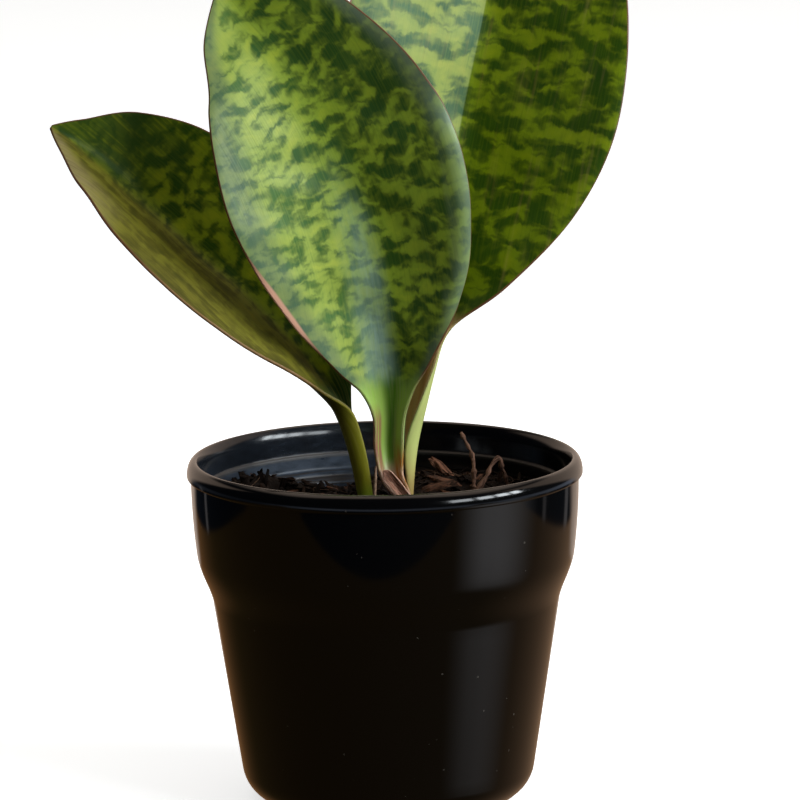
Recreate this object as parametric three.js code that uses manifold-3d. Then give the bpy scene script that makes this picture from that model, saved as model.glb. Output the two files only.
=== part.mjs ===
// A potted snake plant: three broad leaves grow from one short underground stem, in potting mix,
// in a round nursery pot. Millimetres, +Z up. The origin is the centre of the pot's underside,
// and the front of the plant looks along -Y.
import * as THREE from 'three';
import { mergeVertices } from 'three/addons/utils/BufferGeometryUtils.js';
import Module from 'manifold-3d';

const wasm = await Module();
wasm.setup();

// ---- Driving dimensions ----

const GAP = 0.3; // clear space between pieces that touch
const ROUND_STEP_ANGLE = 30; // one facet of a round stretch of a profile, in degrees

// Pot, outside
const POT_HEIGHT = 114;
const RIM_RADIUS = 65; // over the bead round the rim
const BEAD_HEIGHT = 5.6;
const BEAD_WIDTH = 3.4;
const BEAD_CHAMFER = 0.5; // round the bead's lower edge
const BEAD_ROUND_WIDTH = 2.4; // of the quarter ellipse from its widest place to its crest
const BEAD_ROUND_HEIGHT = 4.7;
const BEAD_ROUND_STEPS = 3;
const BEAD_INNER_ROUND = 0.9; // how far below the crest the inner side starts
const COLLAR_RADIUS = 62.2; // at the foot of the collar
const COLLAR_FOOT_Z = 83;
const COLLAR_SLOPE = 0.06; // how much the collar widens for each millimetre up
const BODY_RADIUS = 48.4; // where the tapered body meets the round heel
const BODY_FOOT_Z = 10.2;
const BODY_SLOPE = 0.153;
const SHOULDER_FROM_Z = 67;
const SHOULDER_TO_Z = 84;
const SHOULDER_STEPS = 6;
const HEEL_ROUND = 12;
const POT_SIDES = 40;

// Pot, inside and underside
const POT_WALL = 2.4;
const FLOOR_THICKNESS = 2.4;
const FLOOR_ROUND = 6;
const LEDGE_Z = 104; // the step moulded inside the collar
const LEDGE_RADIUS = 59.7;
const LEDGE_ROUND = 1.1;
const RECESS_DEPTH = 1.6; // under the pot, between the centre pad and the foot ring
const CENTRE_PAD_RADIUS = 12;
const FOOT_RING_WIDTH = 3;
const DRAIN_HOLES = 8;
const DRAIN_HOLE_RADIUS = 3.5;
const DRAIN_HOLE_SIDES = 12;
const DRAIN_CIRCLE_RADIUS = 26;

// Potting mix
const SOIL_LEVEL = 97.5;
const SOIL_WALL_TOP_Z = 88; // above this the mix follows its uneven top
const SOIL_WALL_Z = [12, 30, 50, 66, 70, 75, 80, 84];
const SOIL_RINGS = 7;
// Heaps and a hollow in the top of the mix: centre x and y, height, reach
const SOIL_HEAPS = [
  [3, 2, 3.6, 13],
  [-41, 18, 6.0, 12],
  [27, 22, 4.0, 13],
  [-16, 49, -6.5, 11],
  [20, -34, 2.5, 18],
  [-30, -30, 2.0, 15],
];
const CHIP_SEED = 11;
// Least and greatest sizes, and the widest tilt either way, in degrees
const BARK_CHIPS = { count: 46, length: [4, 12], width: [2, 5.5], thickness: [1.2, 3.2], tilt: 37 };
const FIBRES = { count: 10, length: [9, 16], width: [1, 1], thickness: [1, 1], tilt: 26 };
const CHIP_ROLL = 34; // the widest roll either way, in degrees
const CHIP_UNEVENNESS = 0.35; // how far a corner may be drawn in, as a share of the size
const CHIP_SINK = 0.2; // how far the middle of a chip lies under the surface

// Leaves. A row is a place along the midrib, from the foot to the tip:
// x, y, z, half the width (measured over the surface), the way the face looks (degrees round
// from the front to the right), how far each margin turns up (degrees), how soft the crease at
// the midrib is (0.2 a sharp fold, 2 a round channel) and the thickness at the midrib.
const LEAF_FRONT = [
  [6.6, -5.2, 94, 2.6, -5, 70, 2.0, 2.2],
  [6.0, -4.6, 101.5, 3.2, -5, 75, 2.0, 2.2],
  [2.4, -2.0, 108.5, 5.5, 0, 85, 2.0, 2.4],
  [1.3, -0.2, 117, 6.7, 0, 88, 2.0, 2.6],
  [1.0, 0.0, 128, 6.5, 0, 80, 1.6, 2.7],
  [1.2, -1.4, 138.5, 11, 0, 52, 0.8, 2.7],
  [0.0, -4.0, 149.5, 19, 0, 36.5, 0.35, 2.7],
  [-2.3, -7.0, 166, 29.5, 1, 30, 0.3, 2.7],
  [-5.7, -10.0, 185, 37.3, 2, 27.5, 0.3, 2.6],
  [-12.2, -13.0, 208, 41.3, 3, 25, 0.3, 2.5],
  [-20.4, -14.2, 228, 38.5, 4, 23, 0.3, 2.4],
  [-31.2, -14.4, 247.5, 30, 5, 20, 0.3, 2.2],
  [-42.0, -13.9, 261, 18.5, 5, 18, 0.3, 2.0],
  [-50.5, -13.0, 272.5, 0.8, 5, 16, 0.3, 1.6],
];
const LEAF_LEFT = [
  [-6.6, -1.0, 94, 4.4, 104, 80, 2.0, 2.2],
  [-7.9, -1.0, 102, 5, 104, 85, 2.0, 2.4],
  [-10.2, -1.2, 114, 5.8, 104, 86, 2.0, 2.5],
  [-13.9, -1.4, 126.5, 7, 97, 78, 1.5, 2.6],
  [-19.6, -1.5, 138, 11.5, 60, 50, 0.6, 2.6],
  [-30, -1.2, 153, 22, 52, 34.5, 0.25, 2.6],
  [-46, -0.4, 170, 31, 53, 31, 0.2, 2.5],
  [-63, 0.3, 186, 33.5, 54, 31.5, 0.18, 2.4],
  [-79, 0.5, 200.5, 31, 54, 34.5, 0.18, 2.2],
  [-92.5, 0.0, 213, 21, 54, 35, 0.18, 2.0],
  [-101, -1.2, 220.5, 8, 50, 29, 0.2, 1.8],
  [-106.5, -2.0, 224.5, 0.8, 44, 14.5, 0.25, 1.5],
];
const LEAF_BACK = [
  [8.6, 2.2, 94, 1.9, -90, 60, 2.0, 1.7],
  [8.8, 2.6, 102, 2.3, -90, 66, 2.0, 1.9],
  [10.2, 3.6, 115, 4.5, -92, 85, 2.0, 2.4],
  [12.4, 5.6, 129, 5.6, -60, 80, 1.6, 2.6],
  [14.4, 8.0, 142, 6.0, -35, 62, 1.0, 2.7],
  [16.0, 10.6, 155, 8.5, -15, 40, 0.4, 2.7],
  [18.7, 13.6, 171, 24.4, -3, 27, 0.15, 2.7],
  [23.2, 18.0, 194.5, 40.2, 0, 22, 0.1, 2.6],
  [29.0, 21.8, 222, 49, 0, 19.5, 0.08, 2.5],
  [35.2, 25.6, 250, 48.2, 0, 17, 0.08, 2.4],
  [41.4, 29.6, 279, 40, 0, 14, 0.08, 2.2],
  [47.0, 33.0, 304, 21.5, 0, 12.5, 0.1, 2.0],
  [51.0, 35.4, 322, 0.8, 0, 11, 0.15, 1.6],
];
// The dry scale, in rows of the same kind
const SHEATH = [
  [9.0, -10.0, 97, 1.8, -10, 50, 2.0, 0.9],
  [7.2, -9.2, 101.5, 2.6, -10, 60, 2.0, 0.9],
  [3.8, -8.0, 106, 2.8, -5, 60, 2.0, 0.9],
  [-0.4, -5.9, 110.5, 2.2, 0, 45, 2.0, 0.9],
];
const LEAF_STRIPS = 10; // across a leaf
const LEAF_STEPS_PER_ROW = 2; // along a leaf, between two rows
const LEAF_CURVE_STEPS = 8; // of the sum that gives the curve across a leaf, in each strip
const MARGIN_SHARE = 0.42; // a margin's thickness as a share of the midrib's
const THINNEST = 0.8;
const STEM_HOLE_TOP_Z = 110;
const STEM_HOLE_STEP = 0.02; // as a share of the leaf's rows
const STEM_HOLE_SIDES = 14;
const MIX_SHARE = 0.08; // the place along a leaf where it leaves the mix, as a share of its rows

// Underground stem and its roots
const RHIZOME_START = [-9.5, -0.6, 86];
const RHIZOME_END = [12.5, -1.8, 87];
const RHIZOME_RADIUS = 5.2;
const RHIZOME_RING_COUNT = 4; // old leaf scars round it
const RHIZOME_RING_HEIGHT = 0.35;
const RHIZOME_STEPS_PER_RING = 3;
const RHIZOME_SIDES = 12;
const RHIZOME_BLUNTNESS = 0.97; // 1 would bring the ends to a point
const STUB_RADIUS = 3.4; // what each leaf stands on
const STUB_LENGTH = 7;
const STUB_SIDES = 12;
const ROOT_COUNT = 7;
const ROOT_RADIUS = 1.3;
const ROOT_END_RADIUS = 0.6;
const ROOT_REACH = 25;
const ROOT_DROP = 34;
const ROOT_WAVE = 2.5; // how far a root swings to either side
const ROOT_STEPS = 6;
const ROOT_SIDES = 5;

// Twigs, as the points that each passes through
const TWIG_TALL = [
  [29.4, 7, 95.5],
  [29.3, 7.5, 101.5],
  [29.7, 9, 106.5],
  [29.0, 11, 111.5],
  [25.6, 14, 119],
];
const TWIG_BENT = [
  [29.4, 0.6, 96],
  [30.6, 1.8, 102.3],
  [37.2, 6, 111.9],
  [40.1, 9.6, 103],
  [41.2, 10.8, 96],
];
const TWIG_RADIUS = 1.0;
const TWIG_UNEVENNESS = 0.15; // how much thinner each of two steps in three gets
const TWIG_SIDES = 7;
const TWIG_STEPS = 10;

// ---- Small tools ----

const degrees = THREE.MathUtils.degToRad;
const vector = (point) => new THREE.Vector3(...point);

// Seeded random numbers from 0 to 1, the same at each run.
function seededRandom(seed) {
  let state = seed;
  return () => {
    state = (state + 0x6d2b79f5) | 0;
    let t = Math.imul(state ^ (state >>> 15), 1 | state);
    t = (t + Math.imul(t ^ (t >>> 7), 61 | t)) ^ t;
    return ((t ^ (t >>> 14)) >>> 0) / 4294967296;
  };
}

// Only the places of a geometry's points, with shared points merged.
function bareGeometry(geometry) {
  const bare = geometry.clone();
  bare.deleteAttribute('normal');
  bare.deleteAttribute('uv');
  return mergeVertices(bare, 1e-4);
}

// A closed geometry as a solid that can be joined and cut.
function solidOf(geometry) {
  const merged = bareGeometry(geometry);
  return new wasm.Manifold(new wasm.Mesh({
    numProp: 3,
    vertProperties: merged.attributes.position.array,
    triVerts: new Uint32Array(merged.index.array),
  }));
}

// A joined or cut solid as a geometry again.
function geometryOf(solid) {
  const mesh = solid.getMesh();
  const geometry = new THREE.BufferGeometry();
  geometry.setAttribute('position', new THREE.BufferAttribute(mesh.vertProperties, 3));
  geometry.setIndex(new THREE.BufferAttribute(mesh.triVerts, 1));
  geometry.computeVertexNormals();
  return geometry;
}

function indexedGeometry(points, index) {
  const geometry = new THREE.BufferGeometry();
  const places = points.flatMap((point) => point.toArray());
  geometry.setAttribute('position', new THREE.Float32BufferAttribute(places, 3));
  geometry.setIndex(index);
  geometry.computeVertexNormals();
  return geometry;
}

// A solid of revolution round +Z from [radius, z] points.
function turned(points, sides) {
  const profile = points.map(([radius, z]) => new THREE.Vector2(radius, z));
  return new THREE.LatheGeometry(profile, sides).rotateX(Math.PI / 2);
}

// Points of a round stretch of a profile, as [radius, z], between two angles in degrees.
function roundStretch(centreRadius, centreZ, radius, from, to) {
  const steps = Math.round(Math.abs(to - from) / ROUND_STEP_ANGLE);
  return Array.from({ length: steps + 1 }, (_, i) => {
    const angle = degrees(from + (to - from) * i / steps);
    return [centreRadius + radius * Math.cos(angle), centreZ + radius * Math.sin(angle)];
  });
}

// A place on the smooth curve through all columns of a list of rows, share 0 at the first row
// and 1 at the last (a Catmull-Rom curve).
function rowAt(rows, share) {
  const last = rows.length - 1;
  const place = Math.min(Math.max(share, 0), 1) * last;
  const i = Math.min(Math.floor(place), last - 1);
  const f = place - i;
  const a = rows[Math.max(i - 1, 0)];
  const b = rows[i];
  const c = rows[i + 1];
  const d = rows[Math.min(i + 2, last)];
  return b.map((value, k) => value + 0.5 * f * (c[k] - a[k]
    + f * (2 * a[k] - 5 * value + 4 * c[k] - d[k]
    + f * (3 * (value - c[k]) + d[k] - a[k]))));
}

// A closed rod of round sections along a path, each with its own radius.
function roundRod(path, radii, sides) {
  const points = [];
  const index = [];
  path.forEach((centre, i) => {
    const ahead = path[Math.min(i + 1, path.length - 1)];
    const behind = path[Math.max(i - 1, 0)];
    const along = new THREE.Vector3().subVectors(ahead, behind).normalize();
    const side = new THREE.Vector3(0, 1, 0.2).cross(along).normalize();
    const up = new THREE.Vector3().crossVectors(along, side);
    for (let j = 0; j < sides; j++) {
      const angle = 2 * Math.PI * j / sides;
      points.push(centre.clone()
        .addScaledVector(side, radii[i] * Math.cos(angle))
        .addScaledVector(up, radii[i] * Math.sin(angle)));
    }
  });
  for (let i = 0; i < path.length - 1; i++) {
    for (let j = 0; j < sides; j++) {
      const a = i * sides + j;
      const b = i * sides + (j + 1) % sides;
      index.push(a, b, b + sides, a, b + sides, a + sides);
    }
  }
  const last = (path.length - 1) * sides;
  for (let j = 1; j < sides - 1; j++) {
    index.push(0, j + 1, j, last, last + j, last + j + 1);
  }
  return indexedGeometry(points, index);
}

// ---- Pot ----

// The outside of the pot below the bead: a tapered body and a collar, with a rounded S between.
function potOuterRadius(z) {
  const body = BODY_RADIUS + BODY_SLOPE * (z - BODY_FOOT_Z);
  const collar = COLLAR_RADIUS + COLLAR_SLOPE * (z - COLLAR_FOOT_Z);
  const share = THREE.MathUtils.smoothstep(z, SHOULDER_FROM_Z, SHOULDER_TO_Z);
  return THREE.MathUtils.lerp(body, collar, share);
}

const potInnerRadius = (z) => Math.min(LEDGE_RADIUS, potOuterRadius(z) - POT_WALL);
const potFloorZ = RECESS_DEPTH + FLOOR_THICKNESS;
const floorFlatRadius = potInnerRadius(potFloorZ + FLOOR_ROUND) - FLOOR_ROUND;

function makePotGeometry() {
  const slopeAngle = THREE.MathUtils.radToDeg(Math.atan(BODY_SLOPE));
  const footRadius = BODY_RADIUS - HEEL_ROUND * Math.cos(degrees(slopeAngle));
  const footInner = footRadius - FOOT_RING_WIDTH;
  const underside = [
    [0, 0],
    [CENTRE_PAD_RADIUS, 0],
    [CENTRE_PAD_RADIUS + RECESS_DEPTH, RECESS_DEPTH],
    [footInner - RECESS_DEPTH, RECESS_DEPTH],
    [footInner, 0],
  ];
  const heel = roundStretch(footRadius, HEEL_ROUND, HEEL_ROUND, -90, -slopeAngle);
  const shoulderZ = Array.from({ length: SHOULDER_STEPS + 1 }, (_, i) => (
    THREE.MathUtils.lerp(SHOULDER_FROM_Z, SHOULDER_TO_Z, i / SHOULDER_STEPS)));
  const shoulder = shoulderZ.map((z) => [potOuterRadius(z), z]);
  const beadFootZ = POT_HEIGHT - BEAD_HEIGHT;
  const beadRound = Array.from({ length: BEAD_ROUND_STEPS + 1 }, (_, i) => {
    const angle = degrees(90 * i / BEAD_ROUND_STEPS);
    const inwards = BEAD_ROUND_WIDTH * (1 - Math.cos(angle));
    const below = BEAD_ROUND_HEIGHT * (1 - Math.sin(angle));
    return [RIM_RADIUS - inwards, POT_HEIGHT - below];
  });
  const bead = [
    [potOuterRadius(beadFootZ), beadFootZ],
    [RIM_RADIUS - BEAD_CHAMFER, beadFootZ],
    [RIM_RADIUS, beadFootZ + BEAD_CHAMFER],
    ...beadRound,
    [RIM_RADIUS - BEAD_WIDTH, POT_HEIGHT - BEAD_INNER_ROUND],
  ];
  const ledge = [
    [RIM_RADIUS - BEAD_WIDTH, LEDGE_Z],
    ...roundStretch(LEDGE_RADIUS + LEDGE_ROUND, LEDGE_Z - LEDGE_ROUND, LEDGE_ROUND, 90, 180),
  ];
  const inside = shoulderZ.reverse().map((z) => [potInnerRadius(z), z]);
  const floor = roundStretch(floorFlatRadius, potFloorZ + FLOOR_ROUND, FLOOR_ROUND, 0, -90);
  const profile = [...underside, ...heel, ...shoulder, ...bead, ...ledge, ...inside, ...floor];
  let pot = solidOf(turned([...profile, [0, potFloorZ]], POT_SIDES));
  const cutterHeight = 3 * potFloorZ; // past both faces of the floor
  for (let i = 0; i < DRAIN_HOLES; i++) {
    const angle = 2 * Math.PI * (i + 0.5) / DRAIN_HOLES;
    const x = DRAIN_CIRCLE_RADIUS * Math.cos(angle);
    const y = DRAIN_CIRCLE_RADIUS * Math.sin(angle);
    const hole = new THREE.CylinderGeometry(
      DRAIN_HOLE_RADIUS, DRAIN_HOLE_RADIUS, cutterHeight, DRAIN_HOLE_SIDES,
    );
    pot = pot.subtract(solidOf(hole.rotateX(Math.PI / 2).translate(x, y, 0)));
  }
  return geometryOf(pot);
}

// ---- Leaves ----

// The curve across a leaf, from the left margin to the right one, as [sideways, up] pairs.
// From the midrib to a margin the surface turns up by an angle that grows with u, the share of
// the half width, as u / sqrt(u^2 + softness^2), and reaches the full turn at the margin.
function acrossLeaf(half, turn, softness) {
  const count = (LEAF_STRIPS / 2) * LEAF_CURVE_STEPS;
  const oneSide = [[0, 0]];
  let sideways = 0;
  let up = 0;
  for (let i = 0; i < count; i++) {
    const u = (i + 0.5) / count;
    const angle = turn * u * Math.hypot(1, softness) / Math.hypot(u, softness);
    sideways += Math.cos(angle) * half / count;
    up += Math.sin(angle) * half / count;
    if ((i + 1) % LEAF_CURVE_STEPS === 0) {
      oneSide.push([sideways, up]);
    }
  }
  const left = oneSide.slice(1).reverse().map(([side, rise]) => [-side, rise]);
  return [...left, ...oneSide];
}

// The middle surface of a leaf at one place, as points from the left margin to the right one,
// with the way that the midrib runs there and the thickness.
function leafPlace(rows, share) {
  const [x, y, z, half, facing, turn, softness, thickness] = rowAt(rows, share);
  const reach = 0.01; // to either side, for the way that the midrib runs
  const before = rowAt(rows, share - reach);
  const after = rowAt(rows, share + reach);
  const along = vector(after.slice(0, 3)).sub(vector(before.slice(0, 3))).normalize();
  const face = new THREE.Vector3(Math.sin(degrees(facing)), -Math.cos(degrees(facing)), 0);
  face.addScaledVector(along, -face.dot(along)).normalize();
  const across = new THREE.Vector3().crossVectors(along, face);
  const curve = acrossLeaf(half, degrees(turn), softness);
  const points = curve.map(([side, rise]) => new THREE.Vector3(x, y, z)
    .addScaledVector(across, side)
    .addScaledVector(face, rise));
  return { along, points, thickness };
}

// A leaf as a closed solid: the curve across it is carried from foot to tip, and each point of
// this middle surface moves out by half the thickness to either side.
function makeLeafGeometry(rows) {
  const steps = (rows.length - 1) * LEAF_STEPS_PER_ROW;
  const perRow = LEAF_STRIPS + 1;
  const grid = Array.from({ length: steps + 1 }, (_, i) => leafPlace(rows, i / steps));
  const upper = [];
  const lower = [];
  for (let i = 0; i <= steps; i++) {
    for (let j = 0; j < perRow; j++) {
      const ahead = grid[Math.min(i + 1, steps)].points[j];
      const behind = grid[Math.max(i - 1, 0)].points[j];
      const right = grid[i].points[Math.min(j + 1, LEAF_STRIPS)];
      const left = grid[i].points[Math.max(j - 1, 0)];
      const along = new THREE.Vector3().subVectors(ahead, behind);
      const normal = new THREE.Vector3().subVectors(right, left).cross(along).normalize();
      const u = 2 * j / LEAF_STRIPS - 1;
      const share = 1 - (1 - MARGIN_SHARE) * u * u;
      const halfThickness = Math.max(grid[i].thickness * share, THINNEST) / 2;
      upper.push(grid[i].points[j].clone().addScaledVector(normal, halfThickness));
      lower.push(grid[i].points[j].clone().addScaledVector(normal, -halfThickness));
    }
  }
  const under = upper.length;
  const index = [];
  const quad = (a, b, c, d) => index.push(a, b, c, a, c, d);
  for (let i = 0; i < steps; i++) {
    for (let j = 0; j < LEAF_STRIPS; j++) {
      const a = i * perRow + j;
      const b = a + perRow;
      quad(a, a + 1, b + 1, b);
      index.push(under + a, under + b + 1, under + a + 1, under + a, under + b, under + b + 1);
    }
    const left = i * perRow;
    const right = left + LEAF_STRIPS;
    quad(left, left + perRow, under + left + perRow, under + left);
    quad(right, under + right, under + right + perRow, right + perRow);
  }
  for (let j = 0; j < LEAF_STRIPS; j++) {
    const tip = steps * perRow + j;
    quad(j, under + j, under + j + 1, j + 1);
    quad(tip, tip + 1, under + tip + 1, under + tip);
  }
  return indexedGeometry([...upper, ...lower], index);
}

// The middle of the section that a leaf has at one place, and the radius of the circle round it.
function stemCircle(rows, share) {
  const { along, points, thickness } = leafPlace(rows, share);
  const centre = new THREE.Vector3();
  points.forEach((point) => centre.add(point));
  centre.divideScalar(points.length);
  const furthest = Math.max(...points.map((point) => point.distanceTo(centre)));
  return { along, centre, radius: furthest + thickness / 2 };
}

// The plain hole that a stalk stands in, from just under its foot to above the mix.
function stemHole(rows) {
  const foot = stemCircle(rows, 0);
  const path = [foot.centre.clone().addScaledVector(foot.along, -GAP)];
  const radii = [foot.radius + GAP];
  for (let share = STEM_HOLE_STEP; share < 1; share += STEM_HOLE_STEP) {
    if (rowAt(rows, share)[2] < STEM_HOLE_TOP_Z) {
      const { centre, radius } = stemCircle(rows, share);
      path.push(centre);
      radii.push(radius + GAP);
    }
  }
  return solidOf(roundRod(path, radii, STEM_HOLE_SIDES));
}

// ---- Underground stem ----

// The stem itself, a ringed rod with blunt ends. Extra makes it thicker and longer.
function rhizomeRod(extra) {
  const start = vector(RHIZOME_START);
  const end = vector(RHIZOME_END);
  const steps = RHIZOME_STEPS_PER_RING * RHIZOME_RING_COUNT;
  const stretch = 1 + 2 * extra / start.distanceTo(end);
  const path = [];
  const radii = [];
  for (let i = 0; i <= steps; i++) {
    const share = i / steps;
    const round = Math.sqrt(1 - Math.pow(Math.abs(2 * share - 1) * RHIZOME_BLUNTNESS, 4));
    const ring = RHIZOME_RING_HEIGHT * Math.cos(2 * Math.PI * share * RHIZOME_RING_COUNT);
    path.push(start.clone().lerp(end, 0.5 + (share - 0.5) * stretch));
    radii.push((RHIZOME_RADIUS + ring) * round + extra);
  }
  return solidOf(roundRod(path, radii, RHIZOME_SIDES));
}

// One root: it leaves the stem sideways, swings a little to either side, falls ever more
// steeply and grows thinner.
function rootRod(number, extra) {
  const angle = 2 * Math.PI * (number + 0.5) / ROOT_COUNT + 0.4 * Math.sin(5 * number);
  const reach = ROOT_REACH * (0.8 + 0.2 * Math.sin(3 * number));
  const from = vector(RHIZOME_START).lerp(vector(RHIZOME_END), 0.5 + 0.3 * Math.cos(angle));
  const outward = new THREE.Vector3(Math.cos(angle), Math.sin(angle), 0);
  const sideways = new THREE.Vector3(-Math.sin(angle), Math.cos(angle), 0);
  const down = new THREE.Vector3(0, 0, -1);
  const path = [];
  const radii = [];
  for (let i = 0; i <= ROOT_STEPS; i++) {
    const share = i / ROOT_STEPS;
    path.push(from.clone()
      .addScaledVector(outward, reach * Math.pow(share, 0.8))
      .addScaledVector(sideways, ROOT_WAVE * Math.sin(2 * Math.PI * share + number))
      .addScaledVector(down, ROOT_DROP * Math.pow(share, 1.3)));
    radii.push(THREE.MathUtils.lerp(ROOT_RADIUS, ROOT_END_RADIUS, share) + extra);
  }
  const last = path[ROOT_STEPS];
  last.addScaledVector(last.clone().sub(path[ROOT_STEPS - 1]).normalize(), extra);
  return solidOf(roundRod(path, radii, ROOT_SIDES));
}

// The stem, the stubs that the leaves stand on and the roots, all as one solid. With extra above
// 0 it is the cavity that the stem lies in.
function rhizomeSolid(extra) {
  let solid = rhizomeRod(extra);
  const radius = STUB_RADIUS + extra;
  for (const rows of [LEAF_FRONT, LEAF_LEFT, LEAF_BACK]) {
    const { centre, along } = stemCircle(rows, 0);
    const top = centre.clone().addScaledVector(along, extra - GAP);
    const bottom = centre.clone().addScaledVector(along, -STUB_LENGTH);
    solid = solid.add(solidOf(roundRod([bottom, top], [radius, radius], STUB_SIDES)));
  }
  for (let number = 0; number < ROOT_COUNT; number++) {
    solid = solid.add(rootRod(number, extra));
  }
  return solid;
}

// ---- Twigs ----

function twigGeometry(points, extra) {
  const curve = new THREE.CatmullRomCurve3(points.map(vector), false, 'centripetal');
  const path = curve.getPoints(TWIG_STEPS);
  path[0].addScaledVector(path[1].clone().sub(path[0]).normalize(), -extra);
  const last = path[TWIG_STEPS];
  last.addScaledVector(last.clone().sub(path[TWIG_STEPS - 1]).normalize(), extra);
  const radii = path.map((_, i) => TWIG_RADIUS * (1 - TWIG_UNEVENNESS * (i % 3)) + extra);
  return roundRod(path, radii, TWIG_SIDES);
}

// ---- Potting mix ----

// The height of the top of the mix: its level, two small waves and the heaps.
function soilHeight(x, y) {
  let z = SOIL_LEVEL;
  z += 0.7 * Math.sin(0.31 * x + 1) * Math.cos(0.27 * y);
  z += 0.5 * Math.sin(0.6 * y + 0.4 * x);
  for (const [heapX, heapY, height, reach] of SOIL_HEAPS) {
    z += height * Math.exp(-((x - heapX) ** 2 + (y - heapY) ** 2) / (2 * reach * reach));
  }
  return z;
}

// The plug of mix: it fills the pot to a flat top, which is then raised into its heaps.
function makeSoilPlug() {
  const floorZ = potFloorZ + GAP;
  const topRadius = potInnerRadius(SOIL_LEVEL) - GAP;
  const profile = [[0, floorZ], [floorFlatRadius, floorZ]];
  SOIL_WALL_Z.forEach((z) => profile.push([potInnerRadius(z) - GAP, z]));
  profile.push([topRadius, SOIL_WALL_TOP_Z]);
  for (let ring = SOIL_RINGS; ring >= 0; ring--) {
    profile.push([topRadius * ring / SOIL_RINGS, SOIL_LEVEL]);
  }
  const plug = bareGeometry(turned(profile, POT_SIDES));
  const places = plug.attributes.position;
  for (let i = 0; i < places.count; i++) {
    if (places.getZ(i) > (SOIL_WALL_TOP_Z + SOIL_LEVEL) / 2) {
      places.setZ(i, soilHeight(places.getX(i), places.getY(i)));
    }
  }
  return solidOf(plug);
}

// One splinter of bark or one fibre: a box with its corners drawn in unevenly.
function chipGeometry(length, width, thickness, random) {
  const chip = bareGeometry(new THREE.BoxGeometry(length, width, thickness));
  const places = chip.attributes.position;
  const uneven = () => 1 - CHIP_UNEVENNESS * random();
  for (let i = 0; i < places.count; i++) {
    places.setXYZ(
      i,
      places.getX(i) * uneven(),
      places.getY(i) * uneven(),
      places.getZ(i) * uneven(),
    );
  }
  return chip;
}

// Bark splinters and fibres lie all over the mix, half sunk in it, and keep off the stalks,
// the twigs and the wall.
function addChips(soil, kind, keepOff, random) {
  const between = ([least, greatest]) => THREE.MathUtils.lerp(least, greatest, random());
  const either = (angle) => degrees(angle) * (2 * random() - 1);
  let placed = 0;
  let joined = soil;
  while (placed < kind.count) {
    const length = between(kind.length);
    const width = between(kind.width);
    const thickness = between(kind.thickness);
    const tilt = either(kind.tilt);
    const roll = either(CHIP_ROLL);
    const heading = 2 * Math.PI * random();
    const distance = LEDGE_RADIUS * Math.sqrt(random());
    const direction = 2 * Math.PI * random();
    const x = distance * Math.cos(direction);
    const y = distance * Math.sin(direction);
    const reach = length / 2 + width / 2;
    const isFree = keepOff.every(([px, py, radius]) => Math.hypot(x - px, y - py) > radius + reach);
    if (isFree && distance + reach < LEDGE_RADIUS - GAP) {
      const chip = chipGeometry(length, width, thickness, random)
        .rotateX(roll)
        .rotateY(tilt)
        .rotateZ(heading)
        .translate(x, y, soilHeight(x, y) - CHIP_SINK);
      joined = joined.add(solidOf(chip));
      placed += 1;
    }
  }
  return joined;
}

function makeSoilGeometry() {
  const stalks = [LEAF_FRONT, LEAF_LEFT, LEAF_BACK, SHEATH];
  const keepOff = stalks.map((rows) => {
    const { centre, radius } = stemCircle(rows, MIX_SHARE);
    return [centre.x, centre.y, radius + GAP];
  });
  for (const [x, y] of [TWIG_TALL[1], TWIG_BENT[1], TWIG_BENT[3]]) {
    keepOff.push([x, y, TWIG_RADIUS + GAP]);
  }
  const random = seededRandom(CHIP_SEED);
  let soil = makeSoilPlug();
  soil = addChips(soil, BARK_CHIPS, keepOff, random);
  soil = addChips(soil, FIBRES, keepOff, random);
  for (const rows of stalks) {
    soil = soil.subtract(stemHole(rows));
  }
  for (const twig of [TWIG_TALL, TWIG_BENT]) {
    soil = soil.subtract(solidOf(twigGeometry(twig, GAP)));
  }
  return geometryOf(soil.subtract(rhizomeSolid(GAP)));
}

// ---- The plant ----

const materials = {
  pot: new THREE.MeshStandardMaterial({ color: 0x0b0b0c, roughness: 0.2, metalness: 0 }),
  soil: new THREE.MeshStandardMaterial({ color: 0x2c1e15, roughness: 0.95, metalness: 0 }),
  frontLeaf: new THREE.MeshStandardMaterial({ color: 0x64832b, roughness: 0.4, metalness: 0 }),
  leftLeaf: new THREE.MeshStandardMaterial({ color: 0x3d500f, roughness: 0.4, metalness: 0 }),
  backLeaf: new THREE.MeshStandardMaterial({ color: 0x4d6a14, roughness: 0.4, metalness: 0 }),
  sheath: new THREE.MeshStandardMaterial({ color: 0xa5806c, roughness: 0.85, metalness: 0 }),
  twig: new THREE.MeshStandardMaterial({ color: 0x6f5443, roughness: 0.85, metalness: 0 }),
  rhizome: new THREE.MeshStandardMaterial({ color: 0xc09a5e, roughness: 0.7, metalness: 0 }),
};

const plant = new THREE.Group();

function addPiece(name, geometry, material) {
  const mesh = new THREE.Mesh(geometry, material);
  mesh.name = name;
  plant.add(mesh);
}

addPiece('pot', makePotGeometry(), materials.pot);
addPiece('soil', makeSoilGeometry(), materials.soil);
addPiece('rhizome', geometryOf(rhizomeSolid(0)), materials.rhizome);
addPiece('leaf_front', makeLeafGeometry(LEAF_FRONT), materials.frontLeaf);
addPiece('leaf_left', makeLeafGeometry(LEAF_LEFT), materials.leftLeaf);
addPiece('leaf_back', makeLeafGeometry(LEAF_BACK), materials.backLeaf);
addPiece('sheath', makeLeafGeometry(SHEATH), materials.sheath);
addPiece('twig_tall', twigGeometry(TWIG_TALL, 0), materials.twig);
addPiece('twig_bent', twigGeometry(TWIG_BENT, 0), materials.twig);

export default plant;
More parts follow.
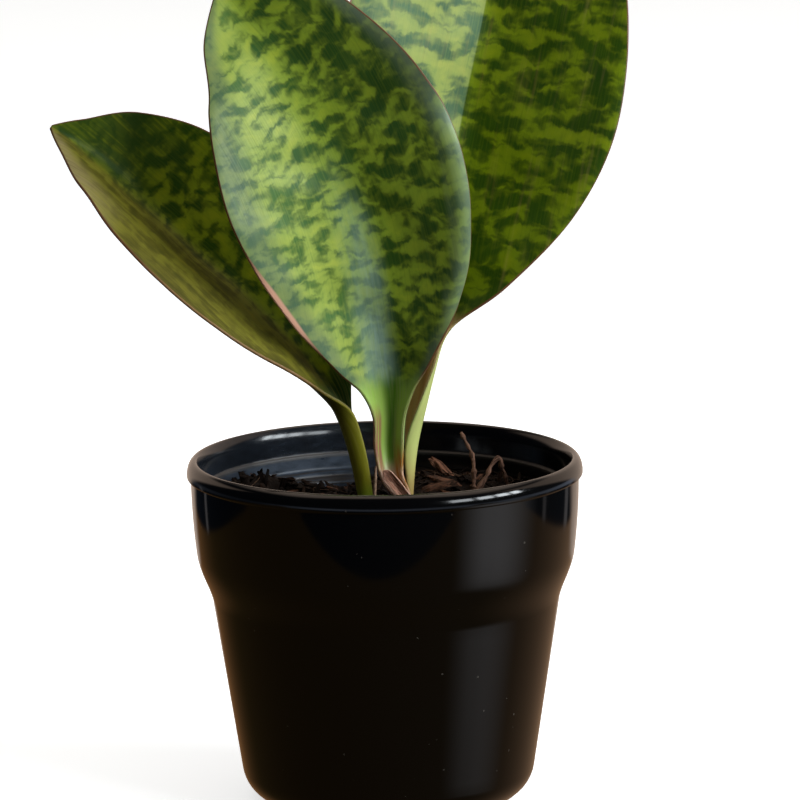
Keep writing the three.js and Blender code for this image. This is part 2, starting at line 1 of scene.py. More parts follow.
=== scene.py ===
# A potted snake plant: three broad mottled leaves in a glossy black nursery pot.
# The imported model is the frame. Each shape below is a numpy surface in millimetres, in the frame's own axes.
import math

import bpy
import numpy as np
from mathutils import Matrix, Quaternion, Vector


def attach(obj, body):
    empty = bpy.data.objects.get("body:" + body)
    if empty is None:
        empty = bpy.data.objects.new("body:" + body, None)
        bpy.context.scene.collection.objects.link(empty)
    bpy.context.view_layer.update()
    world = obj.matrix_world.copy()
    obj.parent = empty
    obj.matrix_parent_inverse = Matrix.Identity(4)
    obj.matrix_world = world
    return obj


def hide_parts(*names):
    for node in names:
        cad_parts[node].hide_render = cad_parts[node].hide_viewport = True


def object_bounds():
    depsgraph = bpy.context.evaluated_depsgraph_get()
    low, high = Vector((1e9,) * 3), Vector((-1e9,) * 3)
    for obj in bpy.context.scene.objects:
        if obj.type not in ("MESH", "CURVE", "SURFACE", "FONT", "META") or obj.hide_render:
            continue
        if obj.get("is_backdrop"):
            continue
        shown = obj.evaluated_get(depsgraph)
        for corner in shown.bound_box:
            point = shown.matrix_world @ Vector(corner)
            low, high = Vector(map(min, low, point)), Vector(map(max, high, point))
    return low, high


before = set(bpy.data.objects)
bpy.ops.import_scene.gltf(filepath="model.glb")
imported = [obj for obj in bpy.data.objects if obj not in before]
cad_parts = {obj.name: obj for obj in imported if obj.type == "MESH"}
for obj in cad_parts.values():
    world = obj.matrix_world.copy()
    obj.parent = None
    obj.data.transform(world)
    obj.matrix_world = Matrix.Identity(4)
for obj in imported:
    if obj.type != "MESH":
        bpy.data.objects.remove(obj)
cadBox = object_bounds()
mm = 0.001
scene = bpy.context.scene
print("frame loaded:", ", ".join(sorted(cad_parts)))


# small tools

def smoothStep(low, high, value):
    # 0 below low, 1 above high, and 3t^2 - 2t^3 between
    t = np.clip((value - low) / (high - low), 0, 1)
    return t * t * (3 - 2 * t)


def bump(centre, reach, value):
    # a bell: e to the power of minus the squared distance from the centre, counted in reaches
    return np.exp(-((value - centre) / reach) ** 2)


def unit(vectors):
    # each vector divided by its own length
    return vectors / np.linalg.norm(vectors, axis=-1, keepdims=True)


def rowsAt(rows, share):
    # the smooth curve through the rows (Catmull-Rom), with share 0 at the first row and 1 at the last
    rows = np.asarray(rows, float)
    last = len(rows) - 1
    place = np.clip(share, 0, 1) * last
    i = np.minimum(place.astype(int), last - 1)
    f = (place - i)[:, None]
    a, b, c, d = rows[np.maximum(i - 1, 0)], rows[i], rows[i + 1], rows[np.minimum(i + 2, last)]
    return b + 0.5 * f * (c - a + f * (2 * a - 5 * b + 4 * c - d + f * (3 * (b - c) + d - a)))


def cloudNoise(x, y, size, seed, cells=64, start=1000):
    # random heights from -1 to 1 on a lattice of that size, with a smooth surface between them
    lattice = np.random.default_rng(seed).uniform(-1, 1, (cells, cells))
    gx, gy = x / size + start, y / size + start
    ix, iy = np.floor(gx).astype(int), np.floor(gy).astype(int)
    fx, fy = gx - ix, gy - iy
    fx, fy = fx * fx * (3 - 2 * fx), fy * fy * (3 - 2 * fy)
    corner = lambda p, q: lattice[(ix + p) % cells, (iy + q) % cells]
    near = corner(0, 0) * (1 - fx) + corner(1, 0) * fx
    far = corner(0, 1) * (1 - fx) + corner(1, 1) * fx
    return near * (1 - fy) + far * fy


def gridFaces(rows, columns, wrapRows=False, wrapColumns=False, start=0):
    # the quads of a grid of points, with its last row or column joined to the first where it wraps
    i = np.arange(rows if wrapRows else rows - 1)[:, None]
    j = np.arange(columns if wrapColumns else columns - 1)[None, :]
    nextI, nextJ = (i + 1) % rows, (j + 1) % columns
    corners = [i * columns + j, i * columns + nextJ, nextI * columns + nextJ, nextI * columns + j]
    return np.stack([np.broadcast_to(c, (i.size, j.size)) for c in corners], -1).reshape(-1, 4) + start


def poleFaces(rows, sides):
    # the triangles from a grid's first and last ring to the two pole points that follow its own points
    j = np.arange(sides)
    nextJ, last, count = (j + 1) % sides, (rows - 1) * sides, rows * sides
    return np.concatenate([np.stack([np.full_like(j, count), j, nextJ], 1),
                           np.stack([np.full_like(j, count + 1), last + nextJ, last + j], 1)])


def around(sides):
    # evenly spaced angles once round
    return np.linspace(0, 2 * np.pi, sides, endpoint=False)


def addMesh(name, points, faces, material, vectors=None, values=None, smooth=True):
    # points in millimetres; vectors and values are attributes that the material reads at each point
    mesh = bpy.data.meshes.new(name)
    mesh.from_pydata((np.asarray(points).reshape(-1, 3) * mm).tolist(), [], faces)
    mesh.polygons.foreach_set("use_smooth", np.full(len(mesh.polygons), smooth))
    for key, data in (vectors or {}).items():
        mesh.attributes.new(key, "FLOAT_VECTOR", "POINT").data.foreach_set("vector", np.ravel(data))
    for key, data in (values or {}).items():
        mesh.attributes.new(key, "FLOAT", "POINT").data.foreach_set("value", np.ravel(data))
    mesh.materials.append(material)
    mesh.update()
    piece = bpy.data.objects.new(name, mesh)
    scene.collection.objects.link(piece)
    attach(piece, "root")
    return piece


# material tools

class Field:
    # what a socket gives at each shaded point; Python's own signs make math nodes of it

    def __init__(self, nodes, socket):
        self.nodes, self.socket = nodes, socket

    def __add__(self, other):
        return self.nodes.math("ADD", self, other)

    def __sub__(self, other):
        return self.nodes.math("SUBTRACT", self, other)

    def __rsub__(self, other):
        return self.nodes.math("SUBTRACT", other, self)

    def __mul__(self, other):
        return self.nodes.math("MULTIPLY", self, other)

    def __truediv__(self, other):
        return self.nodes.math("DIVIDE", self, other)


class Nodes:
    # a material's or world's node tree, with one short call for each kind of node

    def __init__(self, tree):
        self.tree = tree
        tree.nodes.clear()

    def node(self, kind, inputs, **settings):
        node = self.tree.nodes.new(kind)
        for key, value in settings.items():
            setattr(node, key, value)
        for key, value in inputs.items():
            if isinstance(value, Field):
                self.tree.links.new(value.socket, node.inputs[key])
            else:
                node.inputs[key].default_value = value
        return node

    def add(self, kind, inputs, output=0, **settings):
        return Field(self, self.node(kind, inputs, **settings).outputs[output])

    def math(self, operation, a, b=0, clamp=False):
        return self.add("ShaderNodeMath", {0: a, 1: b}, operation=operation, use_clamp=clamp)

    def vectorMath(self, operation, a, b=(0, 0, 0), output=0):
        return self.add("ShaderNodeVectorMath", {0: a, 1: b}, output, operation=operation)

    def stretch(self, vector, x, y, z):
        return self.vectorMath("MULTIPLY", vector, (x, y, z))

    def step(self, value, low, high, toLow=0, toHigh=1):
        # the smooth step from low to high, which may run downwards
        inputs = {"Value": value, "From Min": low, "From Max": high, "To Min": toLow, "To Max": toHigh}
        return self.add("ShaderNodeMapRange", inputs, interpolation_type="SMOOTHSTEP")

    def mix(self, share, a, b, blend="MIX"):
        return self.add("ShaderNodeMix", {0: share, 6: a, 7: b}, 2, data_type="RGBA", blend_type=blend)

    def noise(self, place, scale=1, detail=2, roughness=0.5, distortion=0):
        inputs = {"Vector": place, "Scale": scale, "Detail": detail, "Roughness": roughness,
                  "Distortion": distortion}
        return self.add("ShaderNodeTexNoise", inputs, noise_dimensions="3D")

    def attribute(self, name, output):
        return self.add("ShaderNodeAttribute", {}, output, attribute_type="GEOMETRY", attribute_name=name)

    def split(self, vector):
        return [Field(self, part) for part in self.node("ShaderNodeSeparateXYZ", {0: vector}).outputs]

    def join(self, x, y, z):
        return self.add("ShaderNodeCombineXYZ", {0: x, 1: y, 2: z})

    def objectPlace(self):
        # the place on the piece in millimetres
        return self.stretch(self.add("ShaderNodeTexCoord", {}, "Object"), 1000, 1000, 1000)

    def bump(self, height, strength, distance):
        return self.add("ShaderNodeBump", {"Height": height, "Strength": strength, "Distance": distance})

    def surface(self, inputs):
        shader = self.add("ShaderNodeBsdfPrincipled", inputs)
        self.node("ShaderNodeOutputMaterial", {"Surface": shader})


def newMaterial(name):
    material = bpy.data.materials.new(name)
    material.use_nodes = True
    return material, Nodes(material.node_tree)


# camera

cameraView = {
    "distance": 1500,       # from the point that it circles, which is on the pot's axis at the rim's height
    "height": 114,
    "elevation": 11.3,      # degrees above the horizon
    "lookAt": (5.28, 0, 132.79),
    "roll": -0.713,         # degrees
    "lens": 205.59,         # on a 36 mm sensor
}


def addCamera(view):
    elevation = math.radians(view["elevation"])
    back = np.array([0, -math.cos(elevation), math.sin(elevation)]) * view["distance"]
    camera = bpy.data.objects.new("camera", bpy.data.cameras.new("camera"))
    scene.collection.objects.link(camera)
    camera.location = (np.array([0, 0, view["height"]]) + back) * mm
    direction = Vector(np.array(view["lookAt"]) * mm) - camera.location
    turn = direction.to_track_quat("-Z", "Y") @ Quaternion((0, 0, 1), math.radians(view["roll"]))
    camera.rotation_mode = "QUATERNION"
    camera.rotation_quaternion = turn
    camera.data.lens = view["lens"]
    camera.data.clip_start, camera.data.clip_end = 0.05, 50
    scene.camera = camera


addCamera(cameraView)
scene.view_settings.view_transform = "Standard"
print("camera set")


# light: a window of four panes on the right in front, a soft box overhead, and a dim room

light = {
    # panes from the front round to the right: azimuth and width in degrees, radiance
    "panes": [(44.5, 13.2, 8), (60, 9.9, 12), (72, 8, 16), (81.5, 5.8, 18)],
    "paneElevation": 16,
    "paneHeight": 12,                 # as mirrored in the pot; matt surfaces are lit by the glow
    "glow": (64, 44, 12), "glowHeight": 25,
    "paneDistance": 2, "targetHeight": 0.15,
    "paneColour": (0.90, 0.96, 1),
    "topSize": 6,
    "topHeight": 2.6,
    "topRadiance": 0.55,
    "topColour": (1, 0.985, 0.96),
    "roomGlow": (0.075, 0.07, 0.062),   # what matt surfaces receive from all round
    "backdrop": 1,                    # what the camera sees past the floor
    "floorGlow": 0.66,
}


def addAreaLight(name, place, target, width, height, radiance, colour, inGloss, inMatt=True):
    data = bpy.data.lights.new(name, "AREA")
    data.shape = "RECTANGLE"
    data.size, data.size_y = width, height
    data.energy = radiance * math.pi * width * height
    data.color = colour
    lamp = bpy.data.objects.new(name, data)
    scene.collection.objects.link(lamp)
    lamp.location = place
    lamp.rotation_mode = "QUATERNION"
    lamp.rotation_quaternion = (Vector(target) - Vector(place)).to_track_quat("-Z", "Y")
    lamp.visible_glossy = inGloss
    lamp.visible_diffuse = inMatt
    lamp.visible_camera = False


def addLights(light):
    target = (0, 0, light["targetHeight"])
    reach = light["paneDistance"]
    high = math.radians(light["paneElevation"])
    flat = reach * math.cos(high)
    for number, (azimuth, width, radiance) in enumerate([*light["panes"], light["glow"]]):
        mirrored = number < len(light["panes"])
        tall = 2 * reach * math.tan(math.radians(light["paneHeight" if mirrored else "glowHeight"] / 2))
        turn = math.radians(azimuth)
        place = (flat * math.sin(turn), -flat * math.cos(turn), target[2] + reach * math.sin(high))
        wide = 2 * reach * math.tan(math.radians(width / 2))
        addAreaLight(f"windowPane{number}", place, target, wide, tall, radiance, light["paneColour"],
                     mirrored, not mirrored)
    side = light["topSize"]
    above = (0, 0, light["topHeight"])
    addAreaLight("softBox", above, (0, 0, 0), side, side, light["topRadiance"], light["topColour"], False)


# What is mirrored in glossy surfaces, by direction: a dim room round a wooden table that mirrors the window.
# A pair is where something starts and is full: azimuths in degrees, heights as the direction's z.
room = {
    "darkness": (0.010, 0.013, 0.019, 1),
    "wall": (0.36, 0.42, 0.54, 1),      # a pale strip just below the horizon, in front and on the right
    "wallTop": (-0.05, -0.10), "wallFoot": (-0.192, -0.168), "wallFrom": (-80, -30), "wallShare": (0.12, 1),
    "backWall": (0.66, 0.51, 0.41, 1), "backWallFoot": (-0.277, -0.247),
    "backWallTop": (0.40, 0.50), "backWallFrom": (138, 129),     # on the left and on the right
    "backSides": (-30, 30),             # azimuths between which the left value turns into the right one
    "backWallLean": 90,                 # degrees that its side moves for each unit of height
    "backWallSide": (-8, 4), "backWallTopEdge": (0.14, 0),
    "ceiling": (1.15, 0.92, 0.76, 1), "ceilingFrom": (0.62, 0.87), "ceilingBack": (-0.52, -0.22),
    # The table ends in front and on both sides. Its edge is seen at most so steeply, at this azimuth.
    "tableFront": 0.4465, "frontMiddle": -5, "frontNarrow": 1.256,
    "tableSide": 0.27, "sideMiddle": 122, "tableEdge": (-0.006, 0.006),
    "frames": [(-134, 2.2), (109, 2.2), (137, 3.5)], "frameTop": (-0.1, -0.16),
    "frameColour": (0.22, 0.21, 0.215, 1),
    "wood": (0.080, 0.050, 0.018, 1),
    "woodRight": (0.36, 0.22, 0.13, 1), "woodRightFrom": (66, 168),
    "woodLeft": (0.24, 0.115, 0.045, 1), "woodLeftFrom": (-122, -164),
    "glare": (0.62, 0.63, 0.67, 1),     # the window mirrored in the table
    "glareFrom": (40, 64), "glareTo": (104, 70),
    "glareTop": (-0.17, -0.20), "glareFoot": (-0.62, -0.30),
}


def makeWorld(light, room):
    world = bpy.data.worlds.new("room")
    scene.world = world
    world.use_nodes = True
    n = Nodes(world.node_tree)
    x, y, z = n.split(n.add("ShaderNodeTexCoord", {}, "Generated"))
    azimuth = n.math("DEGREES", n.math("ARCTAN2", x, y * -1))
    turned = n.math("ABSOLUTE", azimuth)
    # the room: a warm ceiling, a dark middle, a paler strip under the horizon and a beige wall behind
    over = n.step(z, *room["ceilingFrom"]) * n.step(y, *room["ceilingBack"])
    seen = n.mix(over, room["darkness"], room["ceiling"])
    for middle, width in room["frames"]:
        away = n.math("ABSOLUTE", azimuth - middle)
        bar = n.step(away, width, width * 0.4) * n.step(z, *room["frameTop"])
        seen = n.mix(bar, seen, room["frameColour"])
    strip = n.step(z, *room["wallTop"]) * n.step(z, *room["wallFoot"])
    strip = strip * n.step(azimuth, *room["wallFrom"], *room["wallShare"])
    seen = n.mix(strip, seen, room["wall"])
    # the table, with an edge that bulges away from the pot in front and on each side
    flat = n.math("SQRT", x * x + y * y)
    steep = z * -1 / n.math("MAXIMUM", flat, 0.001)
    cosine = lambda degrees: n.math("COSINE", n.math("RADIANS", degrees))
    front = cosine((azimuth - room["frontMiddle"]) * room["frontNarrow"]) * room["tableFront"]
    side = cosine(turned - room["sideMiddle"]) * room["tableSide"]
    table = n.step(steep - n.math("MAXIMUM", front, side), *room["tableEdge"])
    wood = n.mix(n.step(azimuth, *room["woodRightFrom"]), room["wood"], room["woodRight"])
    wood = n.mix(n.step(azimuth, *room["woodLeftFrom"]), wood, room["woodLeft"])
    seen = n.mix(table, seen, wood)
    behind = turned + z * room["backWallLean"] - n.step(azimuth, *room["backSides"], *room["backWallFrom"])
    behind = n.step(behind, *room["backWallSide"]) * n.step(z, *room["backWallFoot"])
    above = z - n.step(azimuth, *room["backSides"], *room["backWallTop"])
    seen = n.mix(behind * n.step(above, *room["backWallTopEdge"]), seen, room["backWall"])
    band = n.step(azimuth, *room["glareFrom"]) * n.step(azimuth, *room["glareTo"])
    band = band * n.step(z, *room["glareTop"]) * n.step(z, *room["glareFoot"])
    seen = n.mix(1, seen, n.mix(band, (0, 0, 0, 1), room["glare"]), "ADD")
    # only glossy surfaces see the room
    inGloss, inView = (n.add("ShaderNodeLightPath", {}, f"Is {ray} Ray") for ray in ("Glossy", "Camera"))
    colour = n.mix(inGloss, (*light["roomGlow"], 1), seen)
    colour = n.mix(inView, colour, (*(light["backdrop"],) * 3, 1))
    background = n.add("ShaderNodeBackground", {"Color": colour, "Strength": 1})
    n.node("ShaderNodeOutputWorld", {"Surface": background})


addLights(light)
makeWorld(light, room)
print("lights set")


floorLook = {"reach": 14, "tones": ((0.93, 0.93, 0.925, 1), (0.95, 0.95, 0.945, 1))}


def addFloor():
    # a square of four points round the origin
    material, n = newMaterial("paleFloor")
    colour = n.mix(n.noise(n.objectPlace(), 0.02, 3), *floorLook["tones"])
    n.surface({"Base Color": colour, "Roughness": 0.9, "Specular IOR Level": 0,
               "Emission Color": (1, 1, 1, 1), "Emission Strength": light["floorGlow"]})
    mesh = bpy.data.meshes.new("floor")
    corners = ((-1, -1), (1, -1), (1, 1), (-1, 1))
    mesh.from_pydata([(x * floorLook["reach"], y * floorLook["reach"], 0) for x, y in corners], [],
                     [(0, 1, 2, 3)])
    mesh.materials.append(material)
    floor = bpy.data.objects.new("floor", mesh)
    scene.collection.objects.link(floor)
    floor.visible_glossy = False
    floor.visible_diffuse = False
    floor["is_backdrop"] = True


addFloor()


# pot: a turned shape, z up, radii in millimetres

pot = {
    "height": 114, "rimRadius": 65, "beadHeight": 5.6, "beadRoundWidth": 2.6, "beadRoundHeight": 4.7,
    "collarRadius": 62.2, "collarFootZ": 83, "collarSlope": 0.06, "collarBulge": 0.35,
    "bodyRadius": 48.4, "bodyFootZ": 10.2, "bodySlope": 0.153,
    "shoulderFromZ": 67, "shoulderToZ": 84, "heelRound": 12,
    "wall": 2.4, "floorRound": 6, "ledgeZ": 104, "ledgeRadius": 59.3,
    "recess": 1.6, "floorThickness": 2.4, "padRadius": 12, "footRingWidth": 3,
    "drainHoles": 8, "drainHoleRadius": 3.5, "drainCircleRadius": 26, "poleRing": 6,
    "edgeRound": 0.45, "tuckRound": 0.35, "crestRound": 0.9,     # round the bead
    "flareReach": 9, "flareTilt": 30,                            # inside, where the bead runs out
    "ledgeFillet": 0.4, "ledgeRound": 0.5,
    "mouldRings": [(98.6, 0.5), (96.2, 0.4), (93.6, 0.5)], "ringDepth": 0.16,    # height and reach of each
    "sides": 240,
}

potFinish = {
    # the inside film's blue-grey colour is partly dust and partly a painted sheen of the window
    "black": (0.0016, 0.0015, 0.0015, 1), "dustAndSheen": (0.054, 0.070, 0.096, 1), "grime": (0.040, 0.029, 0.021, 1),
    # crest: a painted highlight, a warm pale line in place of the ceiling's reflection
    "ledgeDust": (0.080, 0.070, 0.060, 1), "crestHighlight": (0.040, 0.032, 0.027, 1), "speck": (0.16, 0.14, 0.12, 1),
    "grimeShare": 0.75, "speckShare": 0.28,
    # the film inside runs from the left inner wall, which the window lights, and stops before the right one,
    # left black as painted shade
    "litSideDustFrom": (12, -20), "ledgeDustFrom": (15, -25),               # x where dust inside starts and is full
    "smooth": (0.05, 0.09),                                          # roughness outside, from place to place
    "filmDull": (0.18, 0.34), "ledgeDull": 0.2, "beadDull": 0.05,    # what is added to it
}


def potOuter(z):
    # body and collar are straight tapers, the collar with a slight bulge, and a smooth step at the shoulder
    # leads from one to the other
    body = pot["bodyRadius"] + pot["bodySlope"] * (z - pot["bodyFootZ"])
    rise = np.clip((z - pot["collarFootZ"]) / (pot["height"] - pot["beadHeight"] - pot["collarFootZ"]), 0, 1)
    collar = pot["collarRadius"] + pot["collarSlope"] * (z - pot["collarFootZ"])
    collar = collar + pot["collarBulge"] * 4 * rise * (1 - rise)
    return body + (collar - body) * smoothStep(pot["shoulderFromZ"], pot["shoulderToZ"], z)


def potInner(z):
    # the outside less the wall, and no wider than the ledge
    return np.minimum(pot["ledgeRadius"], potOuter(z) - pot["wall"])


def arc(radius, z, reach, fromAngle, toAngle, steps):
    # points round a centre, as [radius, z]
    angle = np.radians(np.linspace(fromAngle, toAngle, steps))
    return np.stack([radius + reach * np.cos(angle), z + reach * np.sin(angle)], 1)


def potProfile():
    # from the middle of the underside up the outside, over the bead and down the inside to the floor's middle
    slope = math.degrees(math.atan(pot["bodySlope"]))
    foot = pot["bodyRadius"] - pot["heelRound"] * math.cos(math.radians(slope))
    footInner = foot - pot["footRingWidth"]
    recess, floorZ = pot["recess"], pot["recess"] + pot["floorThickness"]
    circle, poleRing = pot["drainCircleRadius"], pot["poleRing"]
    under = [[0, 0], [poleRing, 0], [pot["padRadius"], 0], [pot["padRadius"] + recess, recess],
             [circle, recess],
             [footInner - recess, recess], [footInner, 0]]
    heel = arc(foot, pot["heelRound"], pot["heelRound"], -90, -slope, 14)
    bodyZ = np.linspace(pot["bodyFootZ"] + 4, pot["shoulderFromZ"], 14)[:-1]
    shoulderZ = np.linspace(pot["shoulderFromZ"], pot["shoulderToZ"], 26)
    beadFoot = pot["height"] - pot["beadHeight"]
    collarZ = np.linspace(pot["shoulderToZ"], beadFoot - 0.6, 14)[1:]
    outerZ = np.concatenate([bodyZ, shoulderZ, collarZ])
    outside = np.stack([potOuter(outerZ), outerZ], 1)
    rim = pot["rimRadius"]
    turnUp = np.radians(np.linspace(0, 90, 22))
    beadRound = np.stack([rim - pot["beadRoundWidth"] * (1 - np.cos(turnUp)),
                          pot["height"] - pot["beadRoundHeight"] * (1 - np.sin(turnUp))], 1)
    edge, tuckRound, crestRound = pot["edgeRound"], pot["tuckRound"], pot["crestRound"]
    beadEdge = arc(rim - edge, beadFoot + edge, edge, -80, 0, 5)
    tuck = arc(potOuter(beadFoot) + tuckRound, beadFoot - tuckRound, tuckRound, 180, 95, 5)
    crest = arc(rim - pot["beadRoundWidth"], pot["height"] - crestRound, crestRound, 105, 152, 6)
    # inside, the bead runs out in a gentle flare
    reach, tilt = pot["flareReach"], math.radians(pot["flareTilt"])
    centre = crest[-1] - reach * np.array([-math.cos(tilt), math.sin(tilt)])
    flare = arc(*centre, reach, 180 - pot["flareTilt"], 176, 10)[1:]
    ledgeZ, ledge = pot["ledgeZ"], pot["ledgeRadius"]
    fillet, ledgeRound = pot["ledgeFillet"], pot["ledgeRound"]
    ledgeStart = flare[-1, 0] - 0.35
    ledgeFillet = arc(ledgeStart - fillet, ledgeZ + fillet, fillet, 0, -90, 5)
    ledgeEdge = arc(ledge + ledgeRound, ledgeZ - ledgeRound, ledgeRound, 90, 180, 7)
    innerZ = np.concatenate([np.linspace(ledgeZ - 1, 86, 60), np.linspace(84, pot["shoulderFromZ"], 14),
                             np.linspace(60, floorZ + pot["floorRound"] + 0.5, 8)])
    rings = pot["ringDepth"] * sum(bump(z, wide, innerZ) for z, wide in pot["mouldRings"])
    inside = np.stack([potInner(innerZ) - rings, innerZ], 1)
    floorEdge = potInner(floorZ + pot["floorRound"]) - pot["floorRound"]
    floorArc = arc(floorEdge, floorZ + pot["floorRound"], pot["floorRound"], 0, -90, 8)
    middle = [[circle, floorZ], [poleRing, floorZ], [0, floorZ]]
    parts = [under, heel, outside, tuck, beadEdge, beadRound, crest, flare, ledgeFillet, ledgeEdge, inside]
    return np.concatenate([np.asarray(part, float) for part in (*parts, floorArc, middle)])


def potMaterial():
    material, n = newMaterial("glossyBlackPlastic")
    place = n.objectPlace()
    x, _, z = n.split(place)
    outwards = n.add("ShaderNodeNewGeometry", {}, "True Normal")
    flat = n.stretch(place, 1, 1, 0)
    radius = n.vectorMath("LENGTH", flat, output="Value")
    facing = n.vectorMath("DOT_PRODUCT", n.vectorMath("NORMALIZE", flat), outwards, "Value")
    inward = n.step(facing, 0.35, 0.05) * n.step(radius, 63, 61.8)
    # dust: fine specks on the outside, and a thin film inside that is thicker on the ledge and below it. The
    # film's blue-grey is partly a painted sheen of the window, and the film is kept to the left inner wall, so
    # the right side stays black as painted shade
    film = n.noise(n.stretch(place, 1, 1, 3), 0.16, 4, 0.65)
    cells = {"Vector": place, "Scale": 0.22, "Randomness": 1}
    speckField = n.add("ShaderNodeTexVoronoi", cells, "Distance", feature="F1")
    speck = n.step(speckField / n.noise(place, 0.35, 1), 0.16, 0.09)
    speck = speck * n.step(n.noise(place, 0.05, 1), 0.5, 0.58)
    ledge = n.step(z, 102.6, 103.2) * n.step(z, 104.8, 104.1)
    ledge = ledge * inward * n.step(film, 0.25, 0.6, 0.35, 1)
    ringBand = n.noise(n.stretch(place, 0.02, 0.02, 1.1), 1, 2, 0.6)
    grime = n.step(z, 101.5, 97) * n.step(ringBand, 0.42, 0.62)
    # painted shade: no film on the right inner wall, away from the window
    dustAndSheenShare = n.step(z, 105, 103.5, 0.22, 1) * n.step(x, *potFinish["litSideDustFrom"])
    inside = n.mix(n.step(film, 0.2, 0.8, 0.35, 1) * dustAndSheenShare, potFinish["black"], potFinish["dustAndSheen"])
    inside = n.mix(grime * potFinish["grimeShare"], inside, potFinish["grime"])
    onLedge = ledge * n.step(x, *potFinish["ledgeDustFrom"], 0.22, 0.7)
    colour = n.mix(inward, potFinish["black"], n.mix(onLedge, inside, potFinish["ledgeDust"]))
    # painted highlight: a warm pale line along the crest, stronger on the left, in place of the ceiling's
    # reflection
    crest = n.step(z, pot["height"] - 0.55, pot["height"] - 0.15) * n.step(x, -55, 60, 0.95, 0.65)
    colour = n.mix(crest, colour, potFinish["crestHighlight"])
    colour = n.mix(speck * potFinish["speckShare"], colour, potFinish["speck"])
    smear = n.noise(n.stretch(place, 1, 1, 0.35), 0.05, 5, 0.6)
    dull = inward * n.step(z, 106, 103, 0.13, 1) * n.step(film, 0.2, 0.7, *potFinish["filmDull"])
    dull = dull + n.step(z, 108.6, 109.4, 0, potFinish["beadDull"])
    gloss = n.step(smear, 0.3, 0.75, *potFinish["smooth"]) + dull
    gloss = n.math("ADD", gloss, ledge * potFinish["ledgeDull"], clamp=True)
    wave = n.noise(n.stretch(place, 1, 1, 0.12), 0.045, 2)
    relief = n.bump(wave * 0.12 + speck * 0.03, 0.5, 0.0006)
    n.surface({"Base Color": colour, "Roughness": gloss, "Normal": relief, "IOR": 1.5})
    return material


def makePot():
    # the profile turned about z: a point at [r cos a, r sin a, z] for each angle a
    profile, sides = potProfile(), pot["sides"]
    turn, ring = around(sides), profile[1:-1]
    points = np.stack([ring[:, :1] * np.cos(turn), ring[:, :1] * np.sin(turn), ring[:, 1:] + 0 * turn], -1)
    poles = np.array([[0, 0, profile[0, 1]], [0, 0, profile[-1, 1]]])
    points = np.concatenate([points.reshape(-1, 3), poles])
    faces = gridFaces(len(ring), sides, wrapColumns=True).tolist()
    faces += poleFaces(len(ring), sides)[:, [0, 2, 1]].tolist()
    shell = addMesh("nurseryPot", points, faces, potMaterial())
    cutDrainHoles(shell)
    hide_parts("pot")


def cutDrainHoles(shell):
    # short rods stand where the holes are, and a boolean takes them out of the floor
    sides, tall = 24, 3 * (pot["recess"] + pot["floorThickness"])
    points, faces = [], []
    for hole in range(pot["drainHoles"]):
        heading = 2 * math.pi * (hole + 0.5) / pot["drainHoles"]
        turn = around(sides)
        x = pot["drainCircleRadius"] * math.cos(heading) + pot["drainHoleRadius"] * np.cos(turn)
        y = pot["drainCircleRadius"] * math.sin(heading) + pot["drainHoleRadius"] * np.sin(turn)
        start = len(points) * 2 * sides
        points.append([np.stack([x, y, 0 * x + z], 1) for z in (-tall / 2, tall / 2)])
        faces += gridFaces(2, sides, wrapColumns=True, start=start).tolist()
        faces += [list(range(start + sides - 1, start - 1, -1)),
                  list(range(start + sides, start + 2 * sides))]
    mesh = bpy.data.meshes.new("drainRods")
    mesh.from_pydata((np.array(points).reshape(-1, 3) * mm).tolist(), [], faces)
    rods = bpy.data.objects.new("drainRods", mesh)
    scene.collection.objects.link(rods)
    cut = shell.modifiers.new("drainHoles", "BOOLEAN")
    cut.operation, cut.object, cut.solver = "DIFFERENCE", rods, "EXACT"
    bpy.context.view_layer.objects.active = shell
    bpy.ops.object.modifier_apply(modifier=cut.name)
    bpy.data.objects.remove(rods)


makePot()
print("pot made")


# potting mix: an uneven surface, crumbs, bark chips and fibres

mix = {
    "level": 97.5,
    # heaps and a hollow: centre x and y, height, reach
    "heaps": [(3, 2, 3.6, 13), (-41, 18, 6, 12), (27, 22, 4, 13), (-16, 49, -6.5, 11), (20, -34, 2.5, 18),
              (-30, -30, 2, 15)],
    "ground": [(7, 0.9), (3.1, 0.55), (1.3, 0.3)],     # its lumps: size and height
    "tone": (0.35, 0.3), "toneSize": 5,                # in the middle and its swing
    "wallGap": 0.35, "wallZ": (86, 80, 74, 68, 50, 30, 12, 4.6), "footInset": 5.8,
    "rings": 120, "sides": 300,
    "seed": 5,
    "stalks": [(4.5, -4), (-8.5, -1), (9.2, 2.8)],     # where they stand, x and y
}


def mixHeight(x, y):
    # the level, two small waves and the heaps
    z = mix["level"] + 0.7 * np.sin(0.31 * x + 1) * np.cos(0.27 * y) + 0.5 * np.sin(0.6 * y + 0.4 * x)
    for heapX, heapY, height, reach in mix["heaps"]:
        z = z + height * np.exp(-((x - heapX) ** 2 + (y - heapY) ** 2) / (2 * reach ** 2))
    return z


def crumble(x, y):
    # rough ground: ridged noise, 1 - 2 |noise|, at two sizes and plain noise at a third
    (coarse, coarseHigh), (middle, middleHigh), (fine, fineHigh) = mix["ground"]
    ridge = lambda size, seed: 1 - 2 * np.abs(cloudNoise(x, y, size, seed))
    ground = coarseHigh * ridge(coarse, mix["seed"]) + middleHigh * ridge(middle, mix["seed"] + 1)
    return ground + fineHigh * cloudNoise(x, y, fine, mix["seed"] + 2) - coarseHigh


